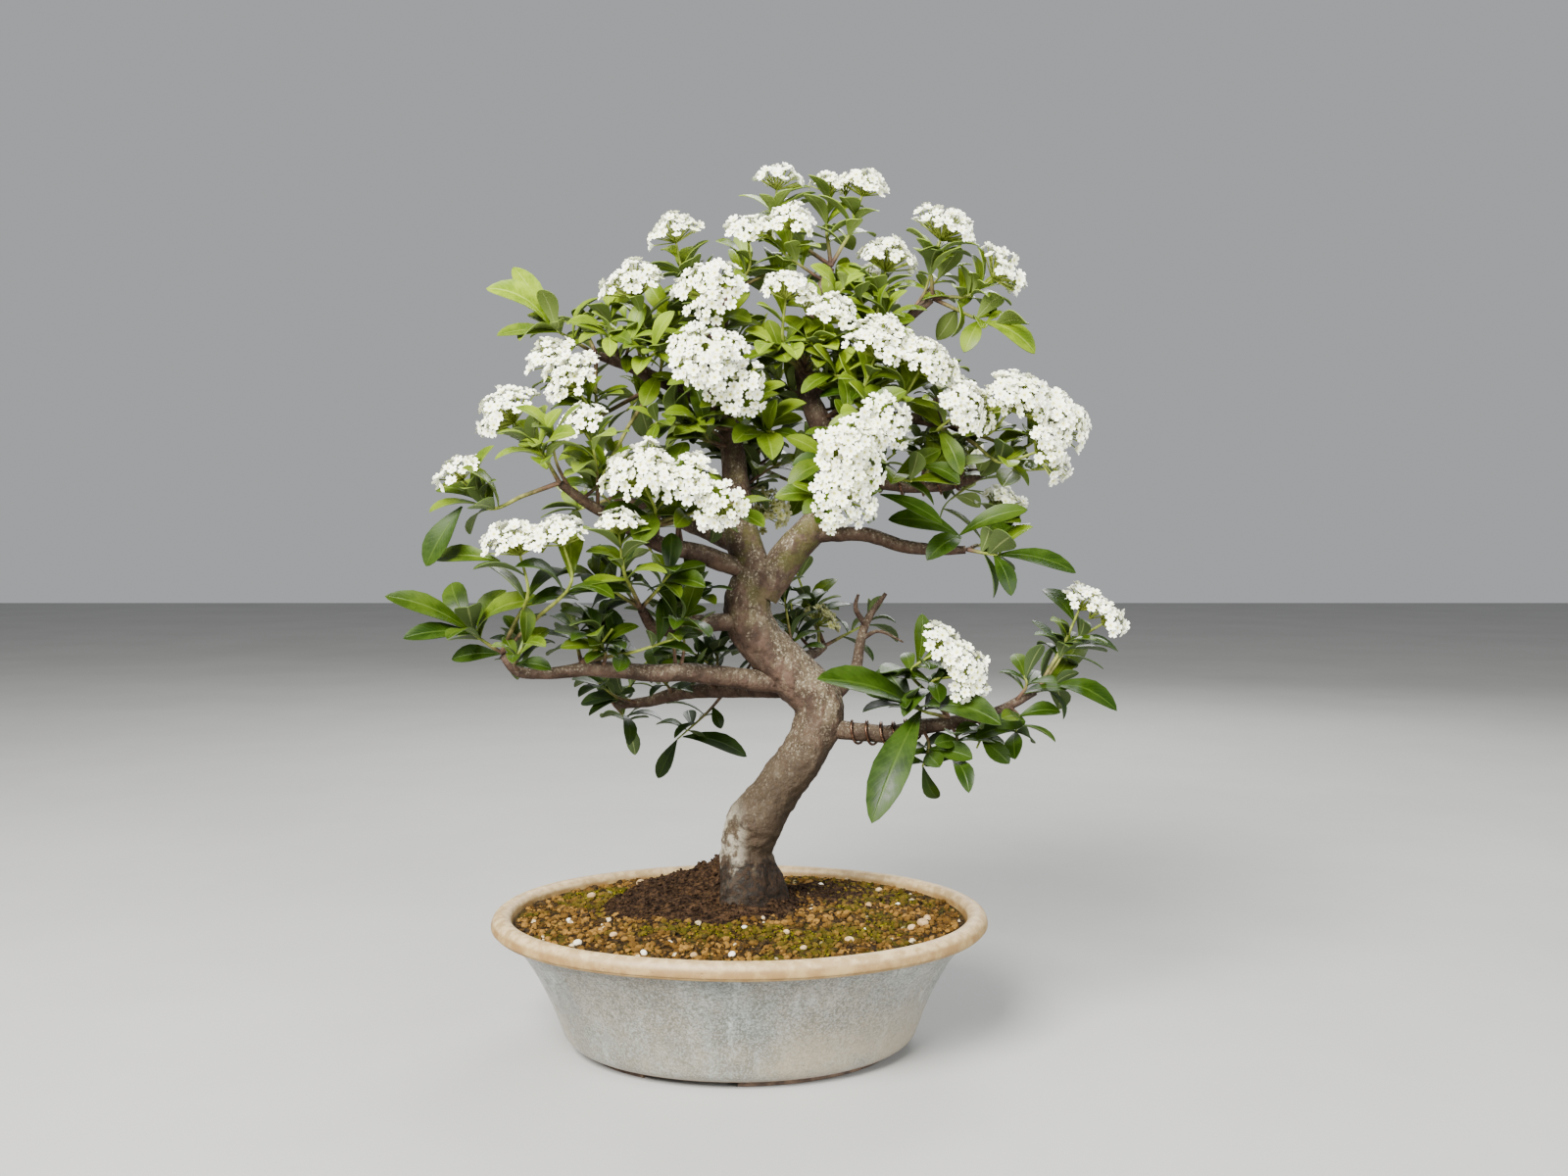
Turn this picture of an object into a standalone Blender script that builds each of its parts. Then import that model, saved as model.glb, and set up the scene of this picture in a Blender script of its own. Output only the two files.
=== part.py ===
"""A firethorn (pyracantha) bonsai in full flower, in an oval glazed pot.

The tables hold millimetres and every mesh is made in metres, +Z up. The origin lies on the
surface that the pot stands on, under the middle of the whole tree and pot. The viewer of the
tree's front looks along +Y.
"""

import math
import random

import bmesh
import bpy
import numpy as np
from mathutils import Matrix, Vector, noise

MM = 0.001
GAP = 0.4  # clearance between pieces that touch on the real tree

# The pot: an oval drum, thrown round and pressed to OVAL of its length across.
POT_X = -20.0  # the crown leans to the right, so the pot stands left of the middle
POT_LENGTH = 320.0
OVAL = 0.78
POT_HEIGHT = 88.0
RIM_HEIGHT = 12.0
WALL = 8.0
FOOT_HEIGHT = 4.0
FOOT_RADII = (84.0, 101.0)
FOOT_NOTCH_WIDTH = 56.0
FOOT_NOTCH_ANGLES = (-107.0, 13.0, 133.0)
FLOOR_TOP = 14.0
DRAIN_X = 42.0
DRAIN_RADIUS = 9.0
SCREEN_SIDE = 34.0
SCREEN_THICK = 1.2
SCREEN_BAR = 2.6
SCREEN_CELLS = 3

# The soil and the dark peat mound that is banked round the foot of the trunk.
SOIL_EDGE_Z = 80.0
SOIL_DOME = 7.0
SOIL_RELIEF = 2.2
MOUND_CENTRE = (-40.0, 8.0)
MOUND_RADII = (70.0, 50.0)
MOUND_FLOOR_Z = 78.0
MOUND_PEAK = 34.0
MOUND_LEAN = (-8.0, -12.0)
MOUND_SIDES = 22

# The wood: points along each limb and its radius at each of them.
LIMBS = {
    "trunk": (
        [(-14, 0, 40), (-14, 0, 75), (-14, 0, 101), (-16, 0, 125), (-9, -2, 144), (5, -4, 167),
         (21, -4, 188), (31, -2, 208), (29, 0, 224), (14, 2, 239), (-1, 2, 254), (-12, 0, 270),
         (-15, 0, 288), (-8, 0, 306)],
        [19, 22, 21, 16, 18, 15, 14.5, 15, 16, 16.5, 16, 15.5, 15.5, 13.5],
    ),
    "left_leader": (
        [(-8, 0, 296), (-18, 2, 327), (-22, 5, 355), (-25, 8, 387), (-31, 8, 422), (-33, 5, 456),
         (-26, 5, 484)],
        [13, 12, 9.5, 7.5, 6, 4.5, 3],
    ),
    "right_leader": (
        [(-6, 0, 292), (14, -2, 320), (32, -4, 340), (40, 0, 364), (35, 5, 393), (25, 5, 418),
         (20, 0, 446), (28, 0, 474), (38, 2, 500)],
        [12, 11, 10, 9, 8, 6.5, 5.5, 4.2, 3],
    ),
    "low_left": (
        [(10, 0, 234), (-23, -10, 238), (-53, -20, 243), (-83, -30, 244), (-113, -35, 246),
         (-137, -40, 243), (-154, -46, 245), (-163, -50, 256)],
        [7.5, 6.5, 6, 5.5, 4.6, 3.6, 3.2, 2.6],
    ),
    "low_left_back": (
        [(10, 5, 230), (-24, 25, 228), (-55, 45, 222), (-83, 60, 215), (-108, 75, 210)],
        [7, 6, 5, 4, 2.6],
    ),
    "mid_left": (
        [(-14, 0, 275), (-41, -15, 273), (-59, -25, 271), (-72, -30, 270), (-79, -40, 283)],
        [6, 5.6, 5, 4.2, 3],
    ),
    "upper_left": (
        [(-14, 0, 306), (-44, -20, 317), (-71, -40, 325), (-93, -60, 339), (-108, -70, 348),
         (-122, -80, 359)],
        [6.5, 6, 5, 4, 3.3, 2.6],
    ),
    "left_back": (
        [(-16, 5, 320), (-47, 30, 333), (-78, 55, 347), (-108, 72, 355)],
        [6, 5, 4, 2.6],
    ),
    "left_crown": (
        [(-29, 8, 409), (-54, 0, 421), (-82, -5, 433), (-109, -10, 443)],
        [5.5, 5, 4, 2.6],
    ),
    "low_right": (
        [(32, 0, 206), (52, -10, 204), (74, -20, 204), (95, -28, 209), (119, -30, 213),
         (143, -30, 220), (166, -26, 231)],
        [6.5, 6, 5.5, 5, 4, 3.2, 2.6],
    ),
    "mid_right": (
        [(22, -2, 328), (40, -10, 330), (61, -15, 329), (83, -20, 322), (104, -25, 320),
         (122, -25, 320)],
        [5.5, 5, 4.6, 4.2, 3.4, 2.6],
    ),
    "upper_right": (
        [(38, 0, 368), (59, 10, 365), (89, 15, 361), (118, 20, 362), (142, 20, 371)],
        [5.5, 4.6, 4, 3.4, 2.6],
    ),
    "right_crown": (
        [(33, 5, 396), (59, 4, 404), (86, -4, 404), (112, -12, 398)],
        [5.5, 4.6, 3.8, 2.8],
    ),
    "right_top": (
        [(25, 5, 421), (53, 10, 441), (82, 15, 464), (104, 15, 482)],
        [5.5, 4.6, 3.6, 2.6],
    ),
    "back_up": ([(32, 5, 402), (31, 40, 412), (25, 68, 430)], [6, 4.6, 2.8]),
    "back_mid": ([(-22, 5, 355), (-18, 40, 366), (-12, 74, 377)], [6, 4.6, 2.8]),
    "back_low": ([(12, 6, 240), (22, 40, 244), (36, 68, 252)], [5.5, 4.4, 2.8]),
    "dead_twig": ([(38, 4, 222), (55, 22, 238), (59, 32, 258), (66, 38, 274), (77, 40, 290)],
                  [3.4, 3, 2.6, 2, 1.2]),
}

# Training wire, wound round two of the right-hand branches: limb, span of it, turns.
WIRES = {
    "training_wire_low": ("low_right", 0.17, 0.50, 5),
    "training_wire_high": ("upper_right", 0.32, 0.86, 5),
}
WIRE_RADIUS = 0.9
WIRE_STEPS = 7  # straight pieces to a turn

# The leafy sprays: the limb that each grows from, how far along it, its leaves' length, and
# the tips of those of its shoots that bear no flowers.
SPRAYS = {
    "spray_crown": ("right_leader", 1.0, 36, [(16, 42, 526)]),
    "spray_crown_left": ("left_leader", 1.0, 36, [(-58, 30, 500), (-16, 50, 508)]),
    "spray_shoulder_right": ("right_top", 1.0, 38, [(150, 10, 462)]),
    "spray_inner_right": ("right_top", 0.5, 36, [(58, 50, 478), (88, 68, 444)]),
    "spray_shoulder_left": ("left_leader", 0.76, 38, [(-96, 20, 470), (-66, 58, 462)]),
    "spray_centre": ("right_leader", 0.7, 38, [(48, -48, 425), (-2, -44, 448)]),
    "spray_front": ("left_leader", 0.55, 38, [(-70, -40, 398), (2, -46, 392)]),
    "spray_arch": ("right_leader", 0.55, 38, [(88, -34, 432)]),
    "spray_left_tip": ("left_crown", 1.0, 38, [(-142, -18, 462), (-124, 8, 470)]),
    "spray_left_mass": ("left_crown", 0.55, 38, [(-96, 34, 412), (-118, 30, 452)]),
    "spray_upper_left": ("upper_left", 1.0, 40, [(-134, -96, 382)]),
    "spray_front_left": ("upper_left", 0.5, 38, []),
    "spray_low_left_tip": ("low_left", 1.0, 50, [(-183, -56, 272)]),
    "spray_low_left_mid": ("low_left", 0.6, 36, [(-96, -52, 272), (-124, -22, 272), (-58, -46, 266)]),
    "spray_mid_left": ("mid_left", 1.0, 38, [(-104, -58, 302), (-60, -62, 306)]),
    "spray_heart": ("right_leader", 0.4, 40, [(86, -48, 362)]),
    "spray_right_mass": ("right_crown", 1.0, 38, []),
    "spray_upper_right": ("upper_right", 1.0, 38, [(178, 10, 372), (124, 70, 354)]),
    "spray_mid_right": ("mid_right", 1.0, 46, [(144, -30, 316)]),
    "spray_low_right": ("low_right", 0.62, 42, [(84, -48, 226)]),
    "spray_far_right": ("low_right", 1.0, 40, [(182, -10, 232)]),
    "spray_under_left": ("low_left_back", 1.0, 36, [(-128, 96, 226), (-104, 98, 196), (-90, 102, 238)]),
    "spray_left_back": ("left_back", 1.0, 38, [(-142, 96, 346), (-84, 102, 314), (-76, 100, 388)]),
    "spray_back": ("back_low", 1.0, 40, [(26, 98, 276), (70, 94, 268), (14, 84, 312)]),
    "spray_back_mid": (
        "back_mid", 1.0, 40,
        [(-50, 96, 420), (-10, 110, 404), (36, 104, 384), (-34, 104, 344), (8, 92, 446), (66, 82, 344)],
    ),
}

# The flower heads: the spray that bears each cluster, then the middle, radius and tilt of
# every head in it. Tilt is 0 where a head faces up and 1 where it faces out of the tree.
CLUSTERS = {
    "blossom_crown_peak": ("spray_crown", [(4, 0, 556, 16, 0.1)]),
    "blossom_crown_right": ("spray_crown", [(38, 8, 554, 12, 0.1), (60, -4, 551, 16, 0.3)]),
    "blossom_crown_left": ("spray_crown_left", [(-62, -6, 522, 18, 0.3)]),
    "blossom_crown_front": ("spray_crown_left", [(-14, -16, 520, 17, 0.3), (14, -18, 526, 15, 0.4)]),
    "blossom_shoulder_right": ("spray_shoulder_right", [(112, 2, 526, 21, 0.3)]),
    "blossom_edge_right": ("spray_shoulder_right", [(148, 0, 498, 19, 0.6)]),
    "blossom_shoulder_inner": ("spray_inner_right", [(76, 10, 508, 21, 0.2)]),
    "blossom_shoulder_left": ("spray_shoulder_left", [(-85, -30, 485, 22, 0.3)]),
    "blossom_centre_upper": ("spray_shoulder_left", [(-36, -48, 479, 24, 0.6)]),
    "blossom_centre_right": ("spray_centre", [(10, -48, 479, 17, 0.3), (36, -44, 465, 17, 0.4)]),
    "blossom_centre": ("spray_front", [(-38, -78, 434, 24, 0.65), (-20, -70, 416, 19, 0.8)]),
    "blossom_arch_right": ("spray_arch", [(66, -60, 444, 23, 0.4), (94, -56, 434, 20, 0.5)]),
    "blossom_left_step": ("spray_left_tip", [(-137, -32, 440, 16, 0.4), (-122, -46, 424, 21, 0.5)]),
    "blossom_left_mass": ("spray_left_mass", [(-160, -54, 404, 22, 0.5)]),
    "blossom_left_inner": ("spray_left_mass", [(-114, -62, 396, 17, 0.5)]),
    "blossom_left_tip": ("spray_upper_left", [(-183, -84, 366, 15, 0.5)]),
    "blossom_right_mass": (
        "spray_right_mass",
        [(118, -50, 407, 23, 0.6), (153, -44, 413, 25, 0.5), (182, -30, 402, 24, 0.6),
         (170, -44, 382, 20, 0.8)],
    ),
    "blossom_heart": (
        "spray_heart",
        [(68, -82, 396, 18, 0.9), (48, -96, 375, 24, 0.9), (42, -98, 352, 20, 0.9)],
    ),
    "blossom_front_left": (
        "spray_front_left",
        [(-76, -96, 366, 22, 0.5), (-48, -94, 362, 18, 0.6), (-28, -96, 346, 16, 0.9)],
    ),
    "blossom_low_left": ("spray_low_left_tip", [(-146, -92, 326, 21, 0.2), (-120, -94, 330, 17, 0.2)]),
    "blossom_low_left_inner": ("spray_mid_left", [(-88, -92, 336, 15, 0.2)]),
    "blossom_low_right": ("spray_low_right", [(104, -62, 262, 18, 0.6), (118, -66, 246, 18, 0.8)]),
    "blossom_far_right": ("spray_far_right", [(196, -25, 288, 15, 0.3), (213, -27, 277, 15, 0.6)]),
    "blossom_shade_right": ("spray_mid_right", [(150, 12, 352, 15, 0.3)]),
    "blossom_back_high": ("spray_inner_right", [(70, 66, 498, 20, 0.5)]),
    "blossom_back_left": ("spray_left_back", [(-118, 92, 376, 21, 0.5)]),
    "blossom_back_right": ("spray_upper_right", [(132, 76, 392, 21, 0.6)]),
}
VIEW_CENTRE = (-10.0, 60.0)  # heads that tilt outwards turn away from here
CORE_RISE = 0.32  # a head's core is this share of its radius high
DOME_RISE = 0.5  # the middle of the dome of florets stands this share of the radius up
FLORET_SHARE = 0.47  # a floret's radius for its head's: larger than life, so that few cover it
STALK = 24.0  # the stretch under a head that runs straight to it
KNUCKLE = 3.4  # radius of the swelling that a spray grows from

# Large leaves that show against the background: the shoot of the spray, counted from its
# first one, how far along the shoot the leaf grows, and where its tip lies.
LARGE_LEAVES = {
    "spray_low_left_tip": [(2, 0.95, (-230, -70, 293)), (2, 0.9, (-218, -72, 268)),
                           (2, 0.85, (-132, -76, 290))],
    "spray_low_right": [(2, 0.8, (28, -74, 244)), (2, 0.75, (60, -86, 160)), (2, 0.7, (136, -84, 218))],
    "spray_far_right": [(2, 0.8, (212, -50, 222)), (2, 0.75, (206, 20, 262))],
    "spray_mid_right": [(1, 0.9, (188, -42, 306)), (1, 0.85, (148, -44, 292)), (1, 0.6, (164, 14, 336))],
    "spray_left_tip": [(2, 0.95, (-176, -28, 482)), (2, 0.9, (-164, -2, 500)), (2, 0.8, (-168, -36, 452))],
    "spray_shoulder_right": [(2, 0.8, (170, 4, 446)), (0, 0.5, (118, -26, 508))],
    "spray_upper_left": [(0, 0.6, (-172, -98, 386)), (1, 0.8, (-108, -118, 386))],
}

LEAVES_PER_SHOOT = 2
TURN = math.radians(137.5)
LEAF_RATIO = 0.17  # half width for its length
LEAF_ARCH = 0.10
LEAF_FOLD = 0.30
BLADE = 0.7  # thickness
SAMPLE_ROWS = 8
CLEAR = 3.2  # air between a leaf and what belongs to another piece
TRIES = 14
FOLIAGE_DEPTH = 119.0  # the leaves stay this near the middle, front and back

SHARP_EDGE = math.radians(35)
COLOURS = {
    "glaze": ((0.52, 0.53, 0.48), 0.35),
    "soil": ((0.36, 0.22, 0.09), 0.95),
    "peat": ((0.045, 0.028, 0.018), 1.0),
    "bark": ((0.20, 0.14, 0.09), 0.85),
    "leaf": ((0.17, 0.30, 0.03), 0.45),
    "petal": ((0.86, 0.85, 0.76), 0.6),
    "wire": ((0.20, 0.10, 0.06), 0.45),
    "mesh": ((0.02, 0.02, 0.02), 0.6),
}


def unit(v):
    return np.asarray(v, float) / np.linalg.norm(v)


def smooth_path(points, per_span):
    """A Catmull-Rom curve through the points, per_span samples between each pair."""
    p = np.asarray(points, float)
    p = np.vstack([2 * p[0] - p[1], p, 2 * p[-1] - p[-2]])
    t = np.linspace(0, 1, per_span, endpoint=False)[:, None]
    spans = [
        0.5 * (2 * b + (c - a) * t + (2 * a - 5 * b + 4 * c - d) * t**2 + (3 * b - a - 3 * c + d) * t**3)
        for a, b, c, d in zip(p, p[1:], p[2:], p[3:])
    ]
    return np.vstack([*spans, p[-2:-1]])


def limb_line(name, per_span):
    """The limb's centre line and its radius along it."""
    points, radii = LIMBS[name]
    path = smooth_path(points, per_span)
    return path, np.interp(np.linspace(0, 1, len(path)), np.linspace(0, 1, len(radii)), radii)


def facing(head):
    """The direction that a flower head faces, from its tilt."""
    x, y, _, _, tilt = head
    out = unit((x - VIEW_CENTRE[0], y - VIEW_CENTRE[1], 0))
    return unit(np.array([0, 0, 1 - tilt]) + out * tilt)


def spray_heads(spray):
    return [head for bearer, heads in CLUSTERS.values() if bearer == spray for head in heads]


def seat(middle, wood):
    """The middle of a knuckle that lies GAP off the bark, and the way from it to the bark."""
    for _ in range(5):
        near = wood.closest_point_on_mesh(Vector(middle) * MM)[1]
        away = middle - np.array(near) / MM
        middle = middle + unit(away) * (KNUCKLE + GAP - np.linalg.norm(away))
    return middle, -unit(away)


def shoots_of(spray, wood):
    """The paths of the spray's shoots, from the knuckle on the limb to under each head or tip,
    then the knuckle's middle and the way from it to the bark."""
    limb, share, _, tips = SPRAYS[spray]
    line, radii = limb_line(limb, 4)
    at = share * (len(line) - 1)
    here = min(int(at), len(line) - 2)
    start = line[here] + (line[here + 1] - line[here]) * (at - here)
    along = unit(line[here + 1] - line[here])
    radius = float(np.interp(at, np.arange(len(radii)), radii))
    ends = []
    for head in spray_heads(spray):
        face = facing(head)
        middle = np.array(head[:3], float)
        under = middle - face * (head[3] * CORE_RISE + GAP)
        ends.append((under - face * min(STALK, 0.45 * np.linalg.norm(under - start)), under))
    for tip in tips:
        tip = np.array(tip, float)
        ends.append((tip * 0.6 + start * 0.4, tip))
    mean = np.mean([end for _, end in ends], axis=0) - start
    side = along if share == 1.0 else unit(mean - along * (mean @ along))
    knuckle, down = seat(start + side * (radius + KNUCKLE + GAP), wood)
    return [np.array([knuckle, neck, end]) for neck, end in ends], knuckle, down


def leaf_grid(base, tip, normal, rows, columns):
    """Points of a leaf: rows along it and columns across. It is widest past its middle, arches
    over, and its margins stand up from the midrib."""
    base, tip = np.asarray(base, float), np.asarray(tip, float)
    chord = tip - base
    length = np.linalg.norm(chord)
    side = unit(np.cross(chord, normal))
    up = unit(np.cross(side, chord))
    s = np.asarray(rows, float)[:, None]
    a = np.asarray(columns, float)[None, :]
    half = LEAF_RATIO * length * np.clip(np.sin(math.pi * s**1.45), 0, 1) ** 0.85
    lift = LEAF_ARCH * length * 4 * s * (1 - s) + LEAF_FOLD * half * np.abs(a)
    return base + chord * s[..., None] + side * (half * a)[..., None] + up * lift[..., None]


def leaf_samples(leaf):
    grid = leaf_grid(*leaf, np.linspace(0.16, 1, SAMPLE_ROWS), (-1, 0, 1))
    return grid.reshape(-1, 3)


def along_path(path, share):
    """The point at a share of the path's length, and the path's direction there."""
    steps = np.linalg.norm(np.diff(path, axis=0), axis=1)
    at = share * steps.sum()
    for k, step in enumerate(steps):
        if at <= step or k == len(steps) - 1:
            return path[k] + (path[k + 1] - path[k]) * min(at / step, 1), unit(path[k + 1] - path[k])
        at -= step
    raise ValueError(share)


def is_clear(samples, spray, taken, heads):
    """Whether the leaf keeps off everything that belongs to another piece."""
    for owner, points, radii in taken:
        if owner == spray:
            continue
        away = np.linalg.norm(samples[:, None] - points[None], axis=2) - radii[None]
        if away.min() < CLEAR:
            return False
    for head in heads:
        face = facing(head)
        offset = samples - np.array(head[:3], float)
        rise = offset @ face
        flat = np.linalg.norm(offset - rise[:, None] * face, axis=1)
        inside = (flat / (head[3] + 5)) ** 2 + (rise / (0.45 * head[3] + 5)) ** 2
        if inside.min() < 1:
            return False
    return samples[:, 2].min() > POT_HEIGHT + 12 and np.abs(samples[:, 1]).max() < FOLIAGE_DEPTH


def solid_obstacles(shoots):
    """What the leaves grow clear of: (owner, points, radii) of every limb, wire and shoot."""
    taken = []
    for name in LIMBS:
        line, radii = limb_line(name, 8)
        taken.append(("wood", line, radii + 2 * WIRE_RADIUS))
    for spray, (paths, _, _) in shoots.items():
        for path in paths:
            points = np.array([along_path(path, k / 12)[0] for k in range(13)])
            taken.append((spray, points, np.full(13, 1.6)))
    return taken


def grow_leaves(shoots):
    """The leaves of every spray, as (base, tip, normal). The large ones come first, then
    those that wind round each shoot, each drawn again until it is clear."""
    heads = [head for _, cluster in CLUSTERS.values() for head in cluster]
    taken = solid_obstacles(shoots)
    grown = {spray: [] for spray in SPRAYS}
    for spray, wanted in LARGE_LEAVES.items():
        for shoot, share, tip in wanted:
            base, _ = along_path(shoots[spray][0][shoot], share)
            leaf = (base, np.array(tip, float), np.array([0, -0.35, 1.0]))
            grown[spray].append(leaf)
            taken.append((spray, leaf_samples(leaf), np.full(SAMPLE_ROWS * 3, 2.6)))
    for spray, (paths, _, _) in shoots.items():
        for number, path in enumerate(paths):
            draw = random.Random(f"{spray} {number}")
            phase = draw.uniform(0, math.tau)
            in_flower = number < len(spray_heads(spray))
            for k in range(LEAVES_PER_SHOOT - (in_flower and number % 2)):
                for _ in range(TRIES):
                    leaf = leaf_on(path, k, phase, SPRAYS[spray][2], draw)
                    samples = leaf_samples(leaf)
                    if is_clear(samples, spray, taken, heads):
                        grown[spray].append(leaf)
                        taken.append((spray, samples, np.full(len(samples), 2.6)))
                        break
    return grown


def leaf_on(path, k, phase, length, draw):
    """One leaf of the whorl under the end of a shoot, k turns of the spiral round it."""
    base, axis = along_path(path, draw.uniform(0.5, 0.88))
    across = unit(np.cross(axis, (0.3, 0.9, 0.2)))
    other = np.cross(axis, across)
    angle = phase + k * TURN + draw.uniform(-0.9, 0.9)
    spread = math.radians(draw.uniform(50, 95))
    away = axis * math.cos(spread) + (across * math.cos(angle) + other * math.sin(angle)) * math.sin(spread)
    away = unit(away + np.array([0, 0, 0.12]))
    tip = base + away * length * draw.uniform(0.75, 1.15)
    normal = unit(np.array([0, -0.15, 0.8]) + axis * 0.5 + np.array([draw.uniform(-0.3, 0.3)] * 3))
    return base, tip, normal


def clear_scene():
    for obj in list(bpy.data.objects):
        bpy.data.objects.remove(obj)


def new_collection(name):
    collection = bpy.data.collections.new(name)
    bpy.context.scene.collection.children.link(collection)
    return collection


def material(name):
    colour, roughness = COLOURS[name]
    made = bpy.data.materials.new(name)
    made.use_nodes = True
    shader = made.node_tree.nodes["Principled BSDF"]
    shader.inputs["Base Color"].default_value = (*colour, 1)
    shader.inputs["Roughness"].default_value = roughness
    shader.inputs["Metallic"].default_value = 1.0 if name == "wire" else 0.0
    return made


def smooth(obj):
    """Shades the object smooth, apart from edges sharper than the limit."""
    obj.data.shade_smooth()
    obj.data.set_sharp_from_angle(angle=SHARP_EDGE)


def put(name, mesh, collection, finish=None):
    obj = bpy.data.objects.new(name, mesh)
    collection.objects.link(obj)
    if finish:
        mesh.materials.clear()
        mesh.materials.append(finish)
    return obj


def mesh_from(bm, name):
    mesh = bpy.data.meshes.new(name)
    bm.to_mesh(mesh)
    bm.free()
    return mesh


def frozen(obj):
    """The object's mesh with its modifiers applied."""
    bpy.context.view_layer.update()
    graph = bpy.context.evaluated_depsgraph_get()
    return bpy.data.meshes.new_from_object(obj.evaluated_get(graph))


def tube(path, radii, roundness, collection):
    """A round tube along a path, as a mesh. roundness 0 gives 4 sides, 1 gives 6, and so on."""
    curve = bpy.data.curves.new("tube", "CURVE")
    curve.dimensions = "3D"
    curve.bevel_depth = MM
    curve.bevel_resolution = roundness
    curve.use_fill_caps = True
    spline = curve.splines.new("POLY")
    spline.points.add(len(path) - 1)
    for point, place, radius in zip(spline.points, path, radii):
        point.co = (*(np.asarray(place) * MM), 1)
        point.radius = radius
    guide = put("tube_guide", curve, collection)
    mesh = frozen(guide)
    bpy.data.objects.remove(guide)
    bm = bmesh.new()
    bm.from_mesh(mesh)
    bmesh.ops.remove_doubles(bm, verts=bm.verts, dist=1e-6)
    return put("tube", mesh_from(bm, "tube"), collection)


def fuse(name, pieces, finish, collection):
    """Joins the pieces in one solid with one Boolean union on a collection."""
    rest = new_collection(name + "_repeats")
    for piece in pieces[1:]:
        for old in piece.users_collection:
            old.objects.unlink(piece)
        rest.objects.link(piece)
    joint = pieces[0].modifiers.new("join", "BOOLEAN")
    joint.operation = "UNION"
    joint.operand_type = "COLLECTION"
    joint.collection = rest
    joint.solver = "MANIFOLD"
    mesh = frozen(pieces[0])
    for piece in [pieces[0], *rest.objects]:
        bpy.data.objects.remove(piece)
    bpy.data.collections.remove(rest)
    keep_outer_shell(mesh)
    return put(name, mesh, collection, finish)


def keep_outer_shell(mesh):
    """Keeps the largest shell: the others are hollows that the union sealed, and loose scraps."""
    bm = bmesh.new()
    bm.from_mesh(mesh)
    shells, seen = [], set()
    for first in bm.faces:
        if first in seen:
            continue
        shell, ahead = set(), [first]
        while ahead:
            face = ahead.pop()
            if face not in shell:
                shell.add(face)
                ahead.extend(link for edge in face.edges for link in edge.link_faces)
        seen |= shell
        shells.append(shell)
    largest = max(shells, key=lambda shell: sum(face.calc_area() for face in shell))
    bmesh.ops.delete(bm, geom=[face for face in bm.faces if face not in largest], context="FACES")
    bm.to_mesh(mesh)
    bm.free()


def cut(obj, cutters, collection):
    """Cuts closed shapes out of the object and applies the cut."""
    for cutter in cutters:
        cutter.hide_render = True
        cutter.display_type = "WIRE"
        change = obj.modifiers.new("cut", "BOOLEAN")
        change.operation = "DIFFERENCE"
        change.object = cutter
        change.solver = "MANIFOLD"
    mesh = frozen(obj)
    finish = obj.data.materials[0]
    name = obj.name
    for old in [obj, *cutters]:
        bpy.data.objects.remove(old)
    return put(name, mesh, collection, finish)


def turned(name, profile, steps, collection, finish):
    """A profile turned about Z and pressed oval, standing at the pot's middle."""
    bm = bmesh.new()
    verts = [bm.verts.new((r * MM, 0, z * MM)) for r, z in profile]
    for a, b in zip(verts, verts[1:]):
        bm.edges.new((a, b))
    obj = put(name, mesh_from(bm, name), collection, finish)
    screw = obj.modifiers.new("turn", "SCREW")
    screw.steps = screw.render_steps = steps
    screw.use_merge_vertices = True
    screw.merge_threshold = 1e-5
    mesh = frozen(obj)
    mesh.transform(Matrix.Translation((POT_X * MM, 0, 0)) @ Matrix.Diagonal((1, OVAL, 1, 1)))
    bpy.data.objects.remove(obj)
    return put(name, mesh, collection, finish)


def box(centre, sides, angle, collection):
    bm = bmesh.new()
    bmesh.ops.create_cube(bm, size=1)
    turn = Matrix.Rotation(angle, 4, "Z")
    place = Matrix.Translation(Vector(centre) * MM)
    bm.transform(place @ turn @ Matrix.Diagonal((*(Vector(sides) * MM), 1)))
    return put("box", mesh_from(bm, "box"), collection)


def drum(centre, radius, low, high, stretch, segments, collection):
    """An upright cylinder, its depth along Y the given share of its width."""
    bm = bmesh.new()
    bmesh.ops.create_cone(bm, cap_ends=True, segments=segments, radius1=radius * MM, radius2=radius * MM,
                          depth=(high - low) * MM)
    place = Matrix.Translation(Vector((*centre, (low + high) / 2)) * MM)
    bm.transform(place @ Matrix.Diagonal((1, stretch, 1, 1)))
    return put("drum", mesh_from(bm, "drum"), collection)


def pot_profile():
    """Inside of the floor, up the inner wall, over the rolled rim and down the outside."""
    half = POT_LENGTH / 2
    under_rim = POT_HEIGHT - RIM_HEIGHT
    outside = [(half - 12, under_rim), (half - 23, 61), (half - 33, 43), (half - 40, 26),
               (half - 47, 10), (FOOT_RADII[1], FOOT_HEIGHT)]
    inside = [(half - 58, FLOOR_TOP), (half - 42, 44), (half - 24, 68)]
    rim = [(half - 13, under_rim + 6), (half - 10, POT_HEIGHT), (half - 3, POT_HEIGHT - 1.5),
           (half, POT_HEIGHT - 6), (half - 2, under_rim + 1.5)]
    foot = [(FOOT_RADII[1], 0), (FOOT_RADII[0], 0), (FOOT_RADII[0], FOOT_HEIGHT), (0, FOOT_HEIGHT)]
    return [(0, FLOOR_TOP), *inside, *rim, *outside, *foot]


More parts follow.
